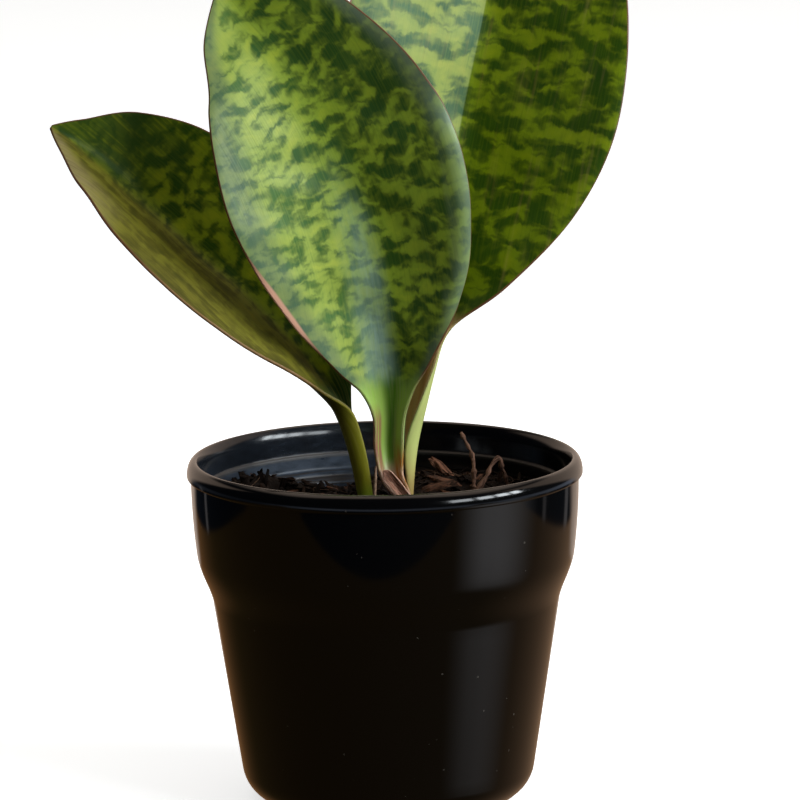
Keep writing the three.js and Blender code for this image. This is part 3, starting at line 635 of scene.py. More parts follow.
def mixMaterial(name, dark, middle, pale, streaks):
    # colour goes from dark to pale with each piece's own tone, and bark has streaks along it
    material, n = newMaterial(name)
    place = n.objectPlace()
    tone = n.attribute("tone", "Fac")
    cloud = n.noise(place, 0.5, 4, 0.65)
    grain = n.noise(n.attribute("grain", "Vector"), 1, 3, 0.6)
    shade = tone * 0.75 + (grain - 0.5) * streaks
    shade = n.math("ADD", shade, (cloud - 0.5) * 0.5, clamp=True)
    colour = n.mix(n.step(shade, 0, 0.55), dark, middle)
    colour = n.mix(n.step(shade, 0.5, 1), colour, pale)
    relief = n.bump(grain + cloud * 0.6, 0.6, 0.0005)
    n.surface({"Base Color": colour, "Roughness": n.step(cloud, 0.3, 0.7, 0.62, 0.9), "Normal": relief,
               "Specular IOR Level": 0.12})
    return material


# dark, middle and pale colour, and the strength of the streaks
mixTones = {
    "dampMix": ((0.002, 0.0012, 0.0009, 1), (0.007, 0.0036, 0.0022, 1), (0.024, 0.012, 0.007, 1), 0.5),
    "barkChips": ((0.003, 0.0017, 0.0012, 1), (0.0165, 0.0078, 0.0042, 1), (0.27, 0.118, 0.068, 1), 0.9),
    "dryFibres": ((0.02, 0.011, 0.007, 1), (0.085, 0.048, 0.028, 1), (0.34, 0.225, 0.15, 1), 0.5),
    "dryTwigBark": ((0.028, 0.014, 0.009, 1), (0.19, 0.10, 0.066, 1), (0.44, 0.27, 0.20, 1), 1.3),
}
earth, bark, straw, twigBark = (mixMaterial(name, *tones) for name, tones in mixTones.items())


def makeMix():
    # rings out to the wall, whose points follow the pot's inside down to its floor
    gap = mix["wallGap"]
    top = potInner(mix["level"]) - gap
    ring = np.sqrt(np.linspace(0, 1, mix["rings"]))[1:, None] * top
    turn = around(mix["sides"])[None]
    x, y = ring * np.cos(turn), ring * np.sin(turn)
    z = mixHeight(x, y) + crumble(x, y) * smoothStep(top, top - 3, ring + 0 * turn)
    surface = np.stack([x, y, z], -1)
    wallZ = np.array(mix["wallZ"])
    wallRadius = np.minimum(potInner(np.maximum(wallZ, 10)), top + gap)[:, None] - gap
    wallRadius[-1] -= mix["footInset"]
    wall = np.stack([wallRadius * np.cos(turn), wallRadius * np.sin(turn), wallZ[:, None] + 0 * turn], -1)
    points = np.concatenate([surface, wall]).reshape(-1, 3)
    rows, sides = mix["rings"] - 1 + len(wallZ), mix["sides"]
    faces = gridFaces(rows, sides, wrapColumns=True)[:, ::-1].tolist() + poleFaces(rows, sides).tolist()
    points = np.concatenate([points, [[0, 0, surface[0, :, 2].mean()], [0, 0, wallZ[-1]]]])
    middle, swing = mix["tone"]
    tone = middle + swing * cloudNoise(points[:, 0], points[:, 1], mix["toneSize"], mix["seed"] + 3)
    piece = addMesh("pottingMix", points, faces, earth, vectors={"grain": points * 0.5},
                    values={"tone": tone})
    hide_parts("soil")


def turnMatrices(yaw, tilt, roll):
    # roll about the long axis, then tilt, then yaw, for arrays of angles
    def about(angle, i, j):
        m = np.zeros((len(angle), 3, 3))
        m[:, [0, 1, 2], [0, 1, 2]] = 1
        m[:, i, i] = m[:, j, j] = np.cos(angle)
        m[:, i, j], m[:, j, i] = -np.sin(angle), np.sin(angle)
        return m
    return about(yaw, 0, 1) @ about(tilt, 0, 2) @ about(roll, 1, 2)


def lumps(count, sizes, angles, places, boxiness, unevenness, rings, sides, random):
    # rounded boxes: a sphere whose sines and cosines are raised to a power, pulled uneven, turned and placed
    polar = np.linspace(0, np.pi, rings)[1:-1, None]
    turn = around(sides)[None]
    power = lambda value: np.sign(value) * np.abs(value) ** boxiness
    unitPoints = np.stack([power(np.cos(polar)) + 0 * turn, power(np.sin(polar)) * power(np.cos(turn)),
                           power(np.sin(polar)) * power(np.sin(turn))], -1).reshape(-1, 3)
    unitPoints = np.concatenate([unitPoints, [[1, 0, 0], [-1, 0, 0]]])
    points = unitPoints[None] * sizes[:, None] / 2
    points = points * (1 + unevenness * random.uniform(-1, 1, points.shape))
    grain = points * np.array([0.12, 1.6, 1.6]) + random.uniform(0, 900, (count, 1, 1))
    points = np.einsum("kij,kpj->kpi", turnMatrices(*angles), points) + places[:, None]
    inner, caps = gridFaces(rings - 2, sides, wrapColumns=True), poleFaces(rings - 2, sides)
    shift = (np.arange(count) * len(unitPoints))[:, None, None]
    faces = (inner[None, :, ::-1] + shift).reshape(-1, 4).tolist()
    return points, grain, faces + (caps[None] + shift).reshape(-1, 3).tolist()


def scatter(count, reach, clear, random):
    # places all over the mix that keep off the stalks
    stalks = np.array(mix["stalks"])
    spots = np.zeros((0, 2))
    while len(spots) < count:
        distance, turn = reach * np.sqrt(random.uniform(size=count)), random.uniform(0, 2 * np.pi, count)
        tried = np.stack([distance * np.cos(turn), distance * np.sin(turn)], 1)
        gap = np.linalg.norm(tried[:, None] - stalks[None], axis=-1).min(1)
        spots = np.concatenate([spots, tried[gap > clear]])[:count]
    return spots


# Chips and crumbs lie flat or tilted on the ground. Sizes run from the first to the second number.
chips = {
    "reach": 55, "clear": 6.5,      # from the pot's axis, and round the stalks
    "tilt": 22, "roll": 0.8, "rough": 0.26, "boxy": 0.75,
    "follow": 0.4, "lift": (-0.1, 0.45),   # how far they follow the ground's lumps, and stand out of it
    "paleAt": 0.95, "palePower": 3.4,      # the tone of the palest, and how few are pale
    "count": 620, "length": (2.5, 11), "width": (0.9, 3.2), "thickness": (0.5, 1.6), "seed": 21,
    # chips that stand out in the photo: x, y, height over the mix, length, width, thickness, yaw, tilt, tone
    "placed": [
        (19, 34, 3.6, 10, 4.2, 3, -22, -38, 0.95), (14, 30, 2.2, 6, 3.4, 2.6, 30, -30, 0.40),
        (17, 8, 1, 12, 6, 2.4, 12, 10, 0.80), (20, 12, 1.8, 11, 5, 2, -8, -14, 0.86),
        (24, -6, 0.4, 9, 3.4, 2, -48, 8, 0.60), (-46, 8, 1.6, 7, 2.2, 2, 70, 52, 0.10),
        (-42, 14, 1.4, 6.5, 2, 1.6, 20, 66, 0.12), (-34, 12, 1.4, 6, 2, 1.6, -60, 62, 0.16),
        (-47, 18, 1.6, 6, 2.6, 2, 110, 40, 0.08), (-23, 4, 1.6, 8, 2.2, 1.8, 20, 72, 0.14),
        (-38, 2, 0.6, 4, 2, 1.6, 0, 20, 0.70), (-30, -2, 0.5, 4.5, 2, 1.6, 60, 10, 0.72),
    ],
}

crumbs = {
    "reach": 58, "clear": 3, "rough": 0.2, "boxy": 0.8, "lift": 0.2, "paleAt": 0.8, "palePower": 1.6,
    "count": 1500, "size": (0.7, 2.4), "flatness": (0.6, 1), "seed": 33,
}


def makeChips():
    # rounded boxes whose length, width and thickness grow with a random share raised to a power
    random = np.random.default_rng(chips["seed"])
    count = chips["count"]
    spots = scatter(count, chips["reach"], chips["clear"], random)
    draw = lambda low, high, power: low + (high - low) * random.uniform(size=count) ** power
    powers = {"length": 2, "width": 1.5, "thickness": 1.5}
    sizes = np.stack([draw(*chips[side], power) for side, power in powers.items()], 1)
    angles = [random.uniform(0, 2 * np.pi, count), np.radians(random.normal(0, chips["tilt"], count)),
              random.uniform(-chips["roll"], chips["roll"], count)]
    tone = random.uniform(0, 1, count) ** chips["palePower"] * chips["paleAt"]
    lift = sizes[:, 2] * random.uniform(*chips["lift"], count)
    placed = np.array(chips["placed"])
    yaw, tilt = np.radians(placed[:, 6:8].T)
    drawn = (spots, lift, sizes, tone, *angles)
    byHand = (placed[:, :2], placed[:, 2], placed[:, 3:6], placed[:, 8], yaw, tilt, 0 * yaw)
    spots, lift, sizes, tone, *angles = [np.concatenate(pair) for pair in zip(drawn, byHand)]
    z = mixHeight(*spots.T) + crumble(*spots.T) * chips["follow"] + lift
    points, grain, faces = lumps(len(spots), sizes, angles, np.column_stack([spots, z]), chips["boxy"],
                                 chips["rough"], 6, 8, random)
    tones = np.repeat(tone, points.shape[1])
    addMesh("barkChips", points, faces, bark, vectors={"grain": grain}, values={"tone": tones},
            smooth=False)


def makeCrumbs():
    # small lumps in every attitude, a fifth of their thickness above the ground
    random = np.random.default_rng(crumbs["seed"])
    count = crumbs["count"]
    spots = scatter(count, crumbs["reach"], crumbs["clear"], random)
    low, high = crumbs["size"]
    sizes = low + (high - low) * random.uniform(size=(count, 1)) ** 2
    sizes = sizes * random.uniform(*crumbs["flatness"], (count, 3))
    angles = [random.uniform(0, 2 * np.pi, count) for _ in range(3)]
    z = mixHeight(*spots.T) + crumble(*spots.T) + sizes[:, 2] * crumbs["lift"]
    points, grain, faces = lumps(count, sizes, angles, np.column_stack([spots, z]), crumbs["boxy"],
                                 crumbs["rough"], 5, 6, random)
    tone = random.uniform(0, 1, count) ** crumbs["palePower"] * crumbs["paleAt"]
    tones = np.repeat(tone, points.shape[1])
    addMesh("crumbs", points, faces, earth, vectors={"grain": grain}, values={"tone": tones},
            smooth=False)


def tubes(paths, radii, sides):
    # round tubes along many paths at once: paths is [tube, step, xyz], radii is [tube, step]
    along = unit(np.gradient(paths, axis=1))
    side = unit(np.cross(along, np.array([0.13, 0.37, 0.92])))
    up = np.cross(along, side)
    turn = around(sides)
    offset = side[:, :, None] * np.cos(turn)[:, None] + up[:, :, None] * np.sin(turn)[:, None]
    points = paths[:, :, None] + radii[:, :, None, None] * offset
    count, steps = paths.shape[:2]
    quads = gridFaces(steps, sides, wrapColumns=True)
    shift = np.arange(count) * steps * sides
    faces = (quads[None, :, ::-1] + shift[:, None, None]).reshape(-1, 4).tolist()
    first = np.arange(sides)
    for start in shift.tolist():
        faces.append((first + start).tolist())
        faces.append((first[::-1] + start + (steps - 1) * sides).tolist())
    return points, faces


fibres = {
    "reach": 54, "clear": 6, "curl": 1.1, "slope": 2.2, "hump": (-0.2, 1.6), "sides": 5,
    "within": 57.5, "lift": 0.9, "lowest": -1.2, "thinEnds": 0.5, "paleAt": 0.8, "palePower": 2.2,
    "count": 70, "length": (6, 20), "radius": (0.10, 0.24), "steps": 9, "seed": 44,
    # fibres that stand out in the photo: x, y, z of both ends, the middle's rise, radius, tone
    "placed": [
        (-20.5, -18, 103.4, -15.5, -15, 99.5, 0.6, 0.36, 0.85),
        (-15.2, -17, 103.6, -19, -12, 99.8, 0.5, 0.34, 0.8),
        (-16, -14, 103, -11.5, -16, 100.2, 0.4, 0.30, 0.75),
        (-2.9, -8.5, 112.6, -3.7, -10.5, 98, 0, 0.55, 0.95),
        (13.5, -10, 103, 24, -14, 99, 0.8, 0.50, 0.55),
        (-24, -16, 102.5, -19, -19, 101.5, 0.8, 0.28, 0.7),
    ],
}


def makeFibres():
    # tubes whose heading turns by curl t and whose middle humps up by 1 - 4t^2, where t runs from -0.5 to 0.5
    random = np.random.default_rng(fibres["seed"])
    count, steps = fibres["count"], fibres["steps"]
    spots = scatter(count, fibres["reach"], fibres["clear"], random)
    length = random.uniform(*fibres["length"], count)[:, None]
    heading = random.uniform(0, 2 * np.pi, count)[:, None]
    curl = random.normal(0, fibres["curl"], count)[:, None]
    t = np.linspace(-0.5, 0.5, steps)[None]
    angle = heading + curl * t
    x = spots[:, :1] + length * t * np.cos(angle)
    y = spots[:, 1:] + length * t * np.sin(angle)
    inside = np.minimum(1, fibres["within"] / np.hypot(x, y))
    x, y = x * inside, y * inside
    hump = random.uniform(*fibres["hump"], count)[:, None] * (1 - 4 * t * t)
    hump = hump + random.normal(0, fibres["slope"], count)[:, None] * t
    z = mixHeight(x, y) + fibres["lift"] + np.maximum(hump, fibres["lowest"])
    paths = np.stack([x, y, z], -1)
    placed = np.array(fibres["placed"])
    share = (t[0] + 0.5)[None, :, None]
    straight = placed[:, None, :3] * (1 - share) + placed[:, None, 3:6] * share
    straight[:, :, 2] += placed[:, 6:7] * 4 * (share * (1 - share))[:, :, 0]
    paths = np.concatenate([paths, straight])
    thick = np.concatenate([random.uniform(*fibres["radius"], count), placed[:, 7]])
    radii = thick[:, None] * (1 - fibres["thinEnds"] * np.abs(2 * t) ** 3)
    tone = random.uniform(0, 1, count) ** fibres["palePower"] * fibres["paleAt"]
    points, faces = tubes(paths, radii, fibres["sides"])
    tones = np.repeat(np.concatenate([tone, placed[:, 8]]), steps * fibres["sides"])
    addMesh("fibres", points, faces, straw, vectors={"grain": points * 0.7},
            values={"tone": tones})


makeMix()
makeChips()
makeCrumbs()
makeFibres()
print("potting mix made")


# leaves

# A row is a place along the midrib, from the foot to the tip: x, y, z, half the width, facing, turn of a
# margin, softness of the crease and thickness at the midrib. Millimetres and degrees.
# Pairs in the colouring are the places where something starts and is full, in millimetres along the leaf or,
# across it, as a share of the half width.
leaves = {
    "leafFront": {
        "node": "leaf_front", "slot": "leaf_light", "seed": 3,
        "rows": [
            (6.6, -5.2, 94, 2.6, -5, 70, 2, 2.2), (6, -4.6, 101.5, 3.2, -5, 75, 2, 2.2),
            (2.4, -2, 108.5, 5.5, 0, 85, 2, 2.4), (1.4, -0.2, 117, 7, 0, 88, 2, 2.6),
            (1.6, 0, 128, 7.4, 0, 80, 1.6, 2.7), (1.2, -1.4, 138.5, 11, 0, 52, 0.8, 2.7),
            (0, -4, 149.5, 19, 0, 36.5, 0.35, 2.7), (-2.3, -7, 166, 29.5, 1, 30, 0.3, 2.7),
            (-5.7, -10, 185, 37.3, 2, 27.5, 0.3, 2.6), (-12.2, -13, 208, 41.3, 3, 25, 0.3, 2.5),
            (-20.4, -14.2, 228, 38.5, 4, 23, 0.3, 2.4), (-31.2, -14.4, 247.5, 30, 5, 20, 0.3, 2.2),
            (-42, -13.9, 261, 18.5, 5, 18, 0.3, 2), (-50.5, -13, 272.5, 0.8, 5, 16, 0.3, 1.6),
        ],
        "curl": {"from": 62, "to": 138, "width": 5.44, "angle": 62},
        "redMargin": {"from": 60, "to": 96, "width": 2.2, "colour": (0.62, 0.33, 0.22, 1)},
        "light": (0.34, 0.44, 0.026, 1), "dark": (0.019, 0.066, 0.007, 1), "share": 0.49,
        # painted light: the right half gets more dark blotches as painted shade, and the left half paler
        # colours as painted sheen
        "paintedShadeRight": 0.025,
        "paintedSheenLight": (0.44, 0.52, 0.075, 1), "paintedSheenDark": (0.040, 0.120, 0.020, 1), "paintedSheenFrom": (0.15, -0.50),
        "mottle": (0.150, 0.210), "shine": 0.6,
        # painted sheen along both margins, and a painted highlight streak beside the midrib
        "sheenMarks": {"colour": (0.070, 0.120, 0.085, 1), "rightColour": (0.20, 0.27, 0.18, 1), "share": 0.60,
                  "left": (-0.58, -0.88), "right": (0.74, 0.99),
                  "highlightColour": (0.34, 0.51, 0.43, 1), "highlightShare": 0.85,
                  "streakLeft": (-12, -1), "streakRight": (7.5, -1), "streakFrom": (36, 50),
                  "streakTo": (138, 52)},
        # the stalk's gutter: one wall painted lit and its middle painted dark as painted shade
        "stalk": (0.22, 0.36, 0.09, 1), "stalkInner": (0.30, 0.48, 0.070, 1),
        "stalkGutterShade": (0.065, 0.17, 0.002, 1),
        "stalkEdge": (0.34, 0.36, 0.16, 1), "base": (0.50, 0.33, 0.25, 1), "baseFrom": 22, "baseTo": 14,
        # dried patches: colour, share, and pairs across the leaf, from below and from above
        "driedAndShaded": [((0.27, 0.10, 0.065, 1), 0.95, (-0.42, -0.62), (12, 19), (42, 34)),
                  ((0.31, 0.115, 0.012, 1), 1, (0.22, 0.60), (3, 11), (30, 20))],
    },
    "leafLeft": {
        "node": "leaf_left", "slot": "leaf_olive", "seed": 8,
        "rows": [
            (-6.6, -1, 94, 4.4, 104, 80, 2, 2.2), (-7.9, -1, 102, 5, 104, 85, 2, 2.4),
            (-10.2, -1.2, 114, 5.8, 104, 86, 2, 2.5), (-13.9, -1.4, 126.5, 7, 97, 78, 1.5, 2.6),
            (-19.6, -1.5, 138, 11.5, 60, 50, 0.6, 2.6), (-30, -1.2, 153, 22, 52, 34.5, 0.25, 2.6),
            (-46, -0.4, 170, 31, 53, 31, 0.2, 2.5), (-63, 0.3, 186, 33.5, 54, 31.5, 0.18, 2.4),
            (-79, 0.5, 200.5, 31, 54, 34.5, 0.18, 2.2), (-92.5, 0, 213, 21, 54, 35, 0.18, 2),
            (-101, -1.2, 220.5, 8, 50, 29, 0.2, 1.8), (-106.5, -2, 224.5, 0.8, 44, 14.5, 0.25, 1.5),
        ],
        "redMargin": {"from": 40, "to": 110, "width": 0.5, "colour": (0.22, 0.12, 0.045, 1)},
        "light": (0.25, 0.28, 0.006, 1), "dark": (0.016, 0.045, 0.001, 1), "share": 0.48, "paintedShadeRight": 0,
        # painted sheen: the near half's paler olive colours and the faint marks beside the midrib
        "paintedSheenLight": (0.29, 0.25, 0.020, 1), "paintedSheenDark": (0.055, 0.060, 0.005, 1), "paintedSheenFrom": (0.04, -0.14),
        "mottle": (0.180, 0.185), "shine": 0.3,
        "sheenMarks": {"colour": (0.17, 0.145, 0.035, 1), "share": 0.15, "left": (-0.02, -0.20)},
        # the stalk's inside is painted dark green as painted shade
        "stalk": (0.155, 0.150, 0.008, 1), "stalkInner": (0.012, 0.040, 0.002, 1),
        "stalkGutterShade": (0.010, 0.040, 0.002, 1),
        "stalkEdge": (0.27, 0.24, 0.05, 1), "base": (0.13, 0.20, 0.012, 1), "baseFrom": 14, "baseTo": 4,
        # the first patch is painted shade along the lower margin
        "driedAndShaded": [((0.060, 0.052, 0.012, 1), 0.75, (-0.40, -1.00), (36, 56), (150, 120)),
                  ((0.30, 0.24, 0.11, 1), 0.75, (-0.25, -0.75), (128, 152), (400, 390)),
                  ((0.030, 0.075, 0.004, 1), 0.8, (-0.20, 0.15), (118, 148), (400, 390))],
        "longStreaks": 0.55,
    },
    "leafBack": {
        "node": "leaf_back", "slot": "leaf_dark", "seed": 14,
        "rows": [
            (8.6, 2.2, 94, 1.9, -90, 60, 2, 1.7), (8.5, 2.6, 102, 2.3, -90, 66, 2, 1.9),
            (9.6, 3.6, 115, 4.6, -92, 85, 2, 2.4), (12.2, 5.6, 129, 5.9, -60, 80, 1.6, 2.6),
            (14.4, 8, 142, 6, -35, 62, 1, 2.7), (16, 10.6, 155, 8.5, -15, 40, 0.4, 2.7),
            (18.7, 13.6, 171, 24.4, -3, 27, 0.15, 2.7), (23.2, 18, 194.5, 40.2, 0, 22, 0.1, 2.6),
            (29, 21.8, 222, 49, 0, 19.5, 0.08, 2.5), (35.2, 25.6, 250, 48.2, 0, 17, 0.08, 2.4),
            (41.4, 29.6, 279, 40, 0, 14, 0.08, 2.2), (47, 33, 304, 21.5, 0, 12.5, 0.1, 2),
            (51, 35.4, 322, 0.8, 0, 11, 0.15, 1.6),
        ],
        "curl": {"from": 90, "to": 170, "width": 3.2, "angle": 30},
        "redMargin": {"from": 90, "to": 200, "width": 0.5, "colour": (0.45, 0.28, 0.17, 1)},
        "light": (0.215, 0.275, 0.002, 1), "dark": (0.018, 0.052, 0.001, 1), "share": 0.47,
        # painted light: the right half gets more dark blotches as painted shade, and the left half paler
        # colours and faint marks as painted sheen
        "paintedShadeRight": 0.02,
        "paintedSheenLight": (0.44, 0.50, 0.10, 1), "paintedSheenDark": (0.045, 0.125, 0.055, 1),
        "paintedSheenFrom": (-0.045, -0.060),
        "mottle": (0.115, 0.200), "shine": 0.45,
        "sheenMarks": {"colour": (0.33, 0.42, 0.25, 1), "share": 0.08, "left": (-0.045, -0.060)},
        # the stalk's inner face is painted brighter against its shade, and darkest in its middle as painted
        # shade
        "stalk": (0.46, 0.52, 0.16, 1), "stalkInner": (0.62, 0.36, 0.15, 1),
        "stalkGutterShade": (0.46, 0.21, 0.07, 1),
        "stalkEdge": (0.42, 0.40, 0.18, 1), "base": (0.40, 0.27, 0.09, 1), "baseFrom": 26, "baseTo": 4,
    },
}

blade = {
    "stepsPerRow": 15, "acrossPoints": 57, "edgePoints": 5, "curveSteps": 240,
    "marginShare": 0.42, "thinnest": 0.8, "bladeFrom": (7, 16), "curlFade": 14, "curlNarrow": 6,
    "ripple": 0.20, "waves": 6, "waveLength": (13, 42),      # the blade's unevenness, in millimetres
    "underside": 400,       # added to the place along the leaf, to tell its underside
    "rim": (0.13, 0.055, 0.022, 1), "rimWidth": 0.45,
    "paleTint": (0.64, 0.76, 0.9, 1), "deepTint": (1.5, 1.35, 1.3, 1),
}


def leafSurface(leaf, share, u):
    # A place is the midrib's point plus a curve across it. Along that curve the surface turns up by an angle
    # that grows with k, the share of the half width, as k / sqrt(k^2 + softness^2), up to the full turn.
    # share is [n], u is [n, m] from -1 at the left margin to 1 at the right one.
    rows = leaf["rows"]
    x, y, z, half, facing, turn, soft, _ = rowsAt(rows, share).T
    along = unit(rowsAt(rows, share + 0.01)[:, :3] - rowsAt(rows, share - 0.01)[:, :3])
    facing = np.radians(facing)
    face = np.stack([np.sin(facing), -np.cos(facing), 0 * facing], 1)
    face = unit(face - along * (face * along).sum(1, keepdims=True))
    across = np.cross(along, face)
    run = np.concatenate([[0], np.cumsum(np.linalg.norm(np.diff(np.stack([x, y, z], 1), axis=0), axis=1))])
    steps = blade["curveSteps"]
    k = (np.arange(steps)[None] + 0.5) / steps
    base = np.radians(turn)[:, None] * k * np.hypot(1, soft)[:, None] / np.hypot(k, soft[:, None])
    sides = []
    for side in (-1, 1):
        angle = base
        if side == 1 and "curl" in leaf:     # the right margin rolls outwards again
            curl = leaf["curl"]
            start, end, fade = curl["from"], curl["to"], blade["curlFade"]
            rolled = smoothStep(start, start + fade, run) * smoothStep(end, end - fade, run)
            rim = smoothStep(1 - curl["width"] / np.maximum(half, blade["curlNarrow"])[:, None], 1, k)
            angle = base - np.radians(curl["angle"]) * rolled[:, None] * rim
        zero = np.zeros((len(share), 1))
        sideways = np.concatenate([zero, np.cumsum(np.cos(angle), 1)], 1) * half[:, None] / steps
        rise = np.concatenate([zero, np.cumsum(np.sin(angle), 1)], 1) * half[:, None] / steps
        place = np.abs(u) * steps
        i = np.minimum(place.astype(int), steps - 1)
        f = place - i
        at = lambda curve, index: np.take_along_axis(curve, index, 1)
        pick = lambda curve: at(curve, i) * (1 - f) + at(curve, i + 1) * f
        sides.append((pick(sideways) * side, pick(rise)))
    isRight = u > 0
    sideways = np.where(isRight, sides[1][0], sides[0][0])
    rise = np.where(isRight, sides[1][1], sides[0][1])
    middle = np.stack([x, y, z], 1)[:, None]
    points = middle + across[:, None] * sideways[:, :, None] + face[:, None] * rise[:, :, None]
    return points, run


def uneven(acrossPlace, alongPlace, seed):
    # a few long waves that cross the blade in several directions
    random = np.random.default_rng(seed)
    total = 0
    for _ in range(blade["waves"]):
        length = random.uniform(*blade["waveLength"])
        heading = random.uniform(0, np.pi)
        phase = random.uniform(0, 2 * np.pi)
        wave = acrossPlace * np.cos(heading) + alongPlace * np.sin(heading)
        total = total + length / blade["waveLength"][1] * np.sin(2 * np.pi * wave / length + phase)
    return total


def leafMesh(leaf):
    # the surface moved out to both sides by half the thickness, with a round margin: a closed loop of points
    # at each step along the leaf
    steps = (len(leaf["rows"]) - 1) * blade["stepsPerRow"] + 1
    share = np.linspace(0, 1, steps)
    half, thick = rowsAt(leaf["rows"], share)[:, [3, 7]].T
    inner = np.linspace(-1, 1, blade["acrossPoints"])
    inner = 0.55 * inner + 0.45 * inner ** 3          # closer together at the midrib's crease
    edgeHalf = np.minimum(np.maximum(thick * blade["marginShare"], blade["thinnest"]) / 2, 0.45 * half)
    reach = (edgeHalf / half)[:, None]
    edge = np.sin(np.linspace(0, np.pi / 2, blade["edgePoints"] + 1))[None]
    body = inner[None] * (1 - reach)
    right = 1 - reach + reach * edge[:, 1:]
    u = np.concatenate([-right[:, ::-1], body, right], 1)
    points, run = leafSurface(leaf, share, u)
    normal = unit(np.cross(np.gradient(points, axis=1), np.gradient(points, axis=0)))
    acrossPlace = u * half[:, None]
    isBlade = smoothStep(*blade["bladeFrom"], half)[:, None]
    waves = uneven(acrossPlace, run[:, None] + 0 * u, leaf["seed"]) * (1 - 0.6 * u * u)
    points = points + normal * (blade["ripple"] * waves * isBlade)[:, :, None]
    flat = np.maximum(thick[:, None] * (1 - (1 - blade["marginShare"]) * u * u), blade["thinnest"]) / 2
    overEdge = np.clip((np.abs(u) - (1 - reach)) / reach, 0, 1)
    halfThickness = flat * np.sqrt(np.clip(1 - overEdge ** 2, 0, 1))
    upper = points + normal * halfThickness[:, :, None]
    lower = points - normal * halfThickness[:, :, None]
    loop = np.concatenate([upper, lower[:, -2:0:-1]], 1)
    columns, per = u.shape[1], loop.shape[1]
    faces = gridFaces(steps, per, wrapColumns=True).tolist()
    j = np.arange(1, columns - 2)
    for row, flip in ((0, True), (steps - 1, False)):
        start = row * per
        quads = np.stack([start + j, start + j + 1, start + per - j - 1, start + per - j], 1)
        ends = [[start, start + 1, start + per - 1],
                [start + columns - 2, start + columns - 1, start + columns]]
        for face in quads.tolist() + ends:
            faces.append(face[::-1] if flip else face)
    both = lambda values: np.concatenate([values, values[:, -2:0:-1]], 1)
    along = run[:, None] + 0 * u
    margin = (1 - np.abs(u)) * half[:, None]
    lowerShift = np.concatenate([0 * u, 0 * u[:, -2:0:-1] + blade["underside"]], 1)
    place = np.stack([both(acrossPlace), both(along) + lowerShift, both(margin)], -1)
    return loop, faces, place, both(u), both(isBlade + 0 * u)


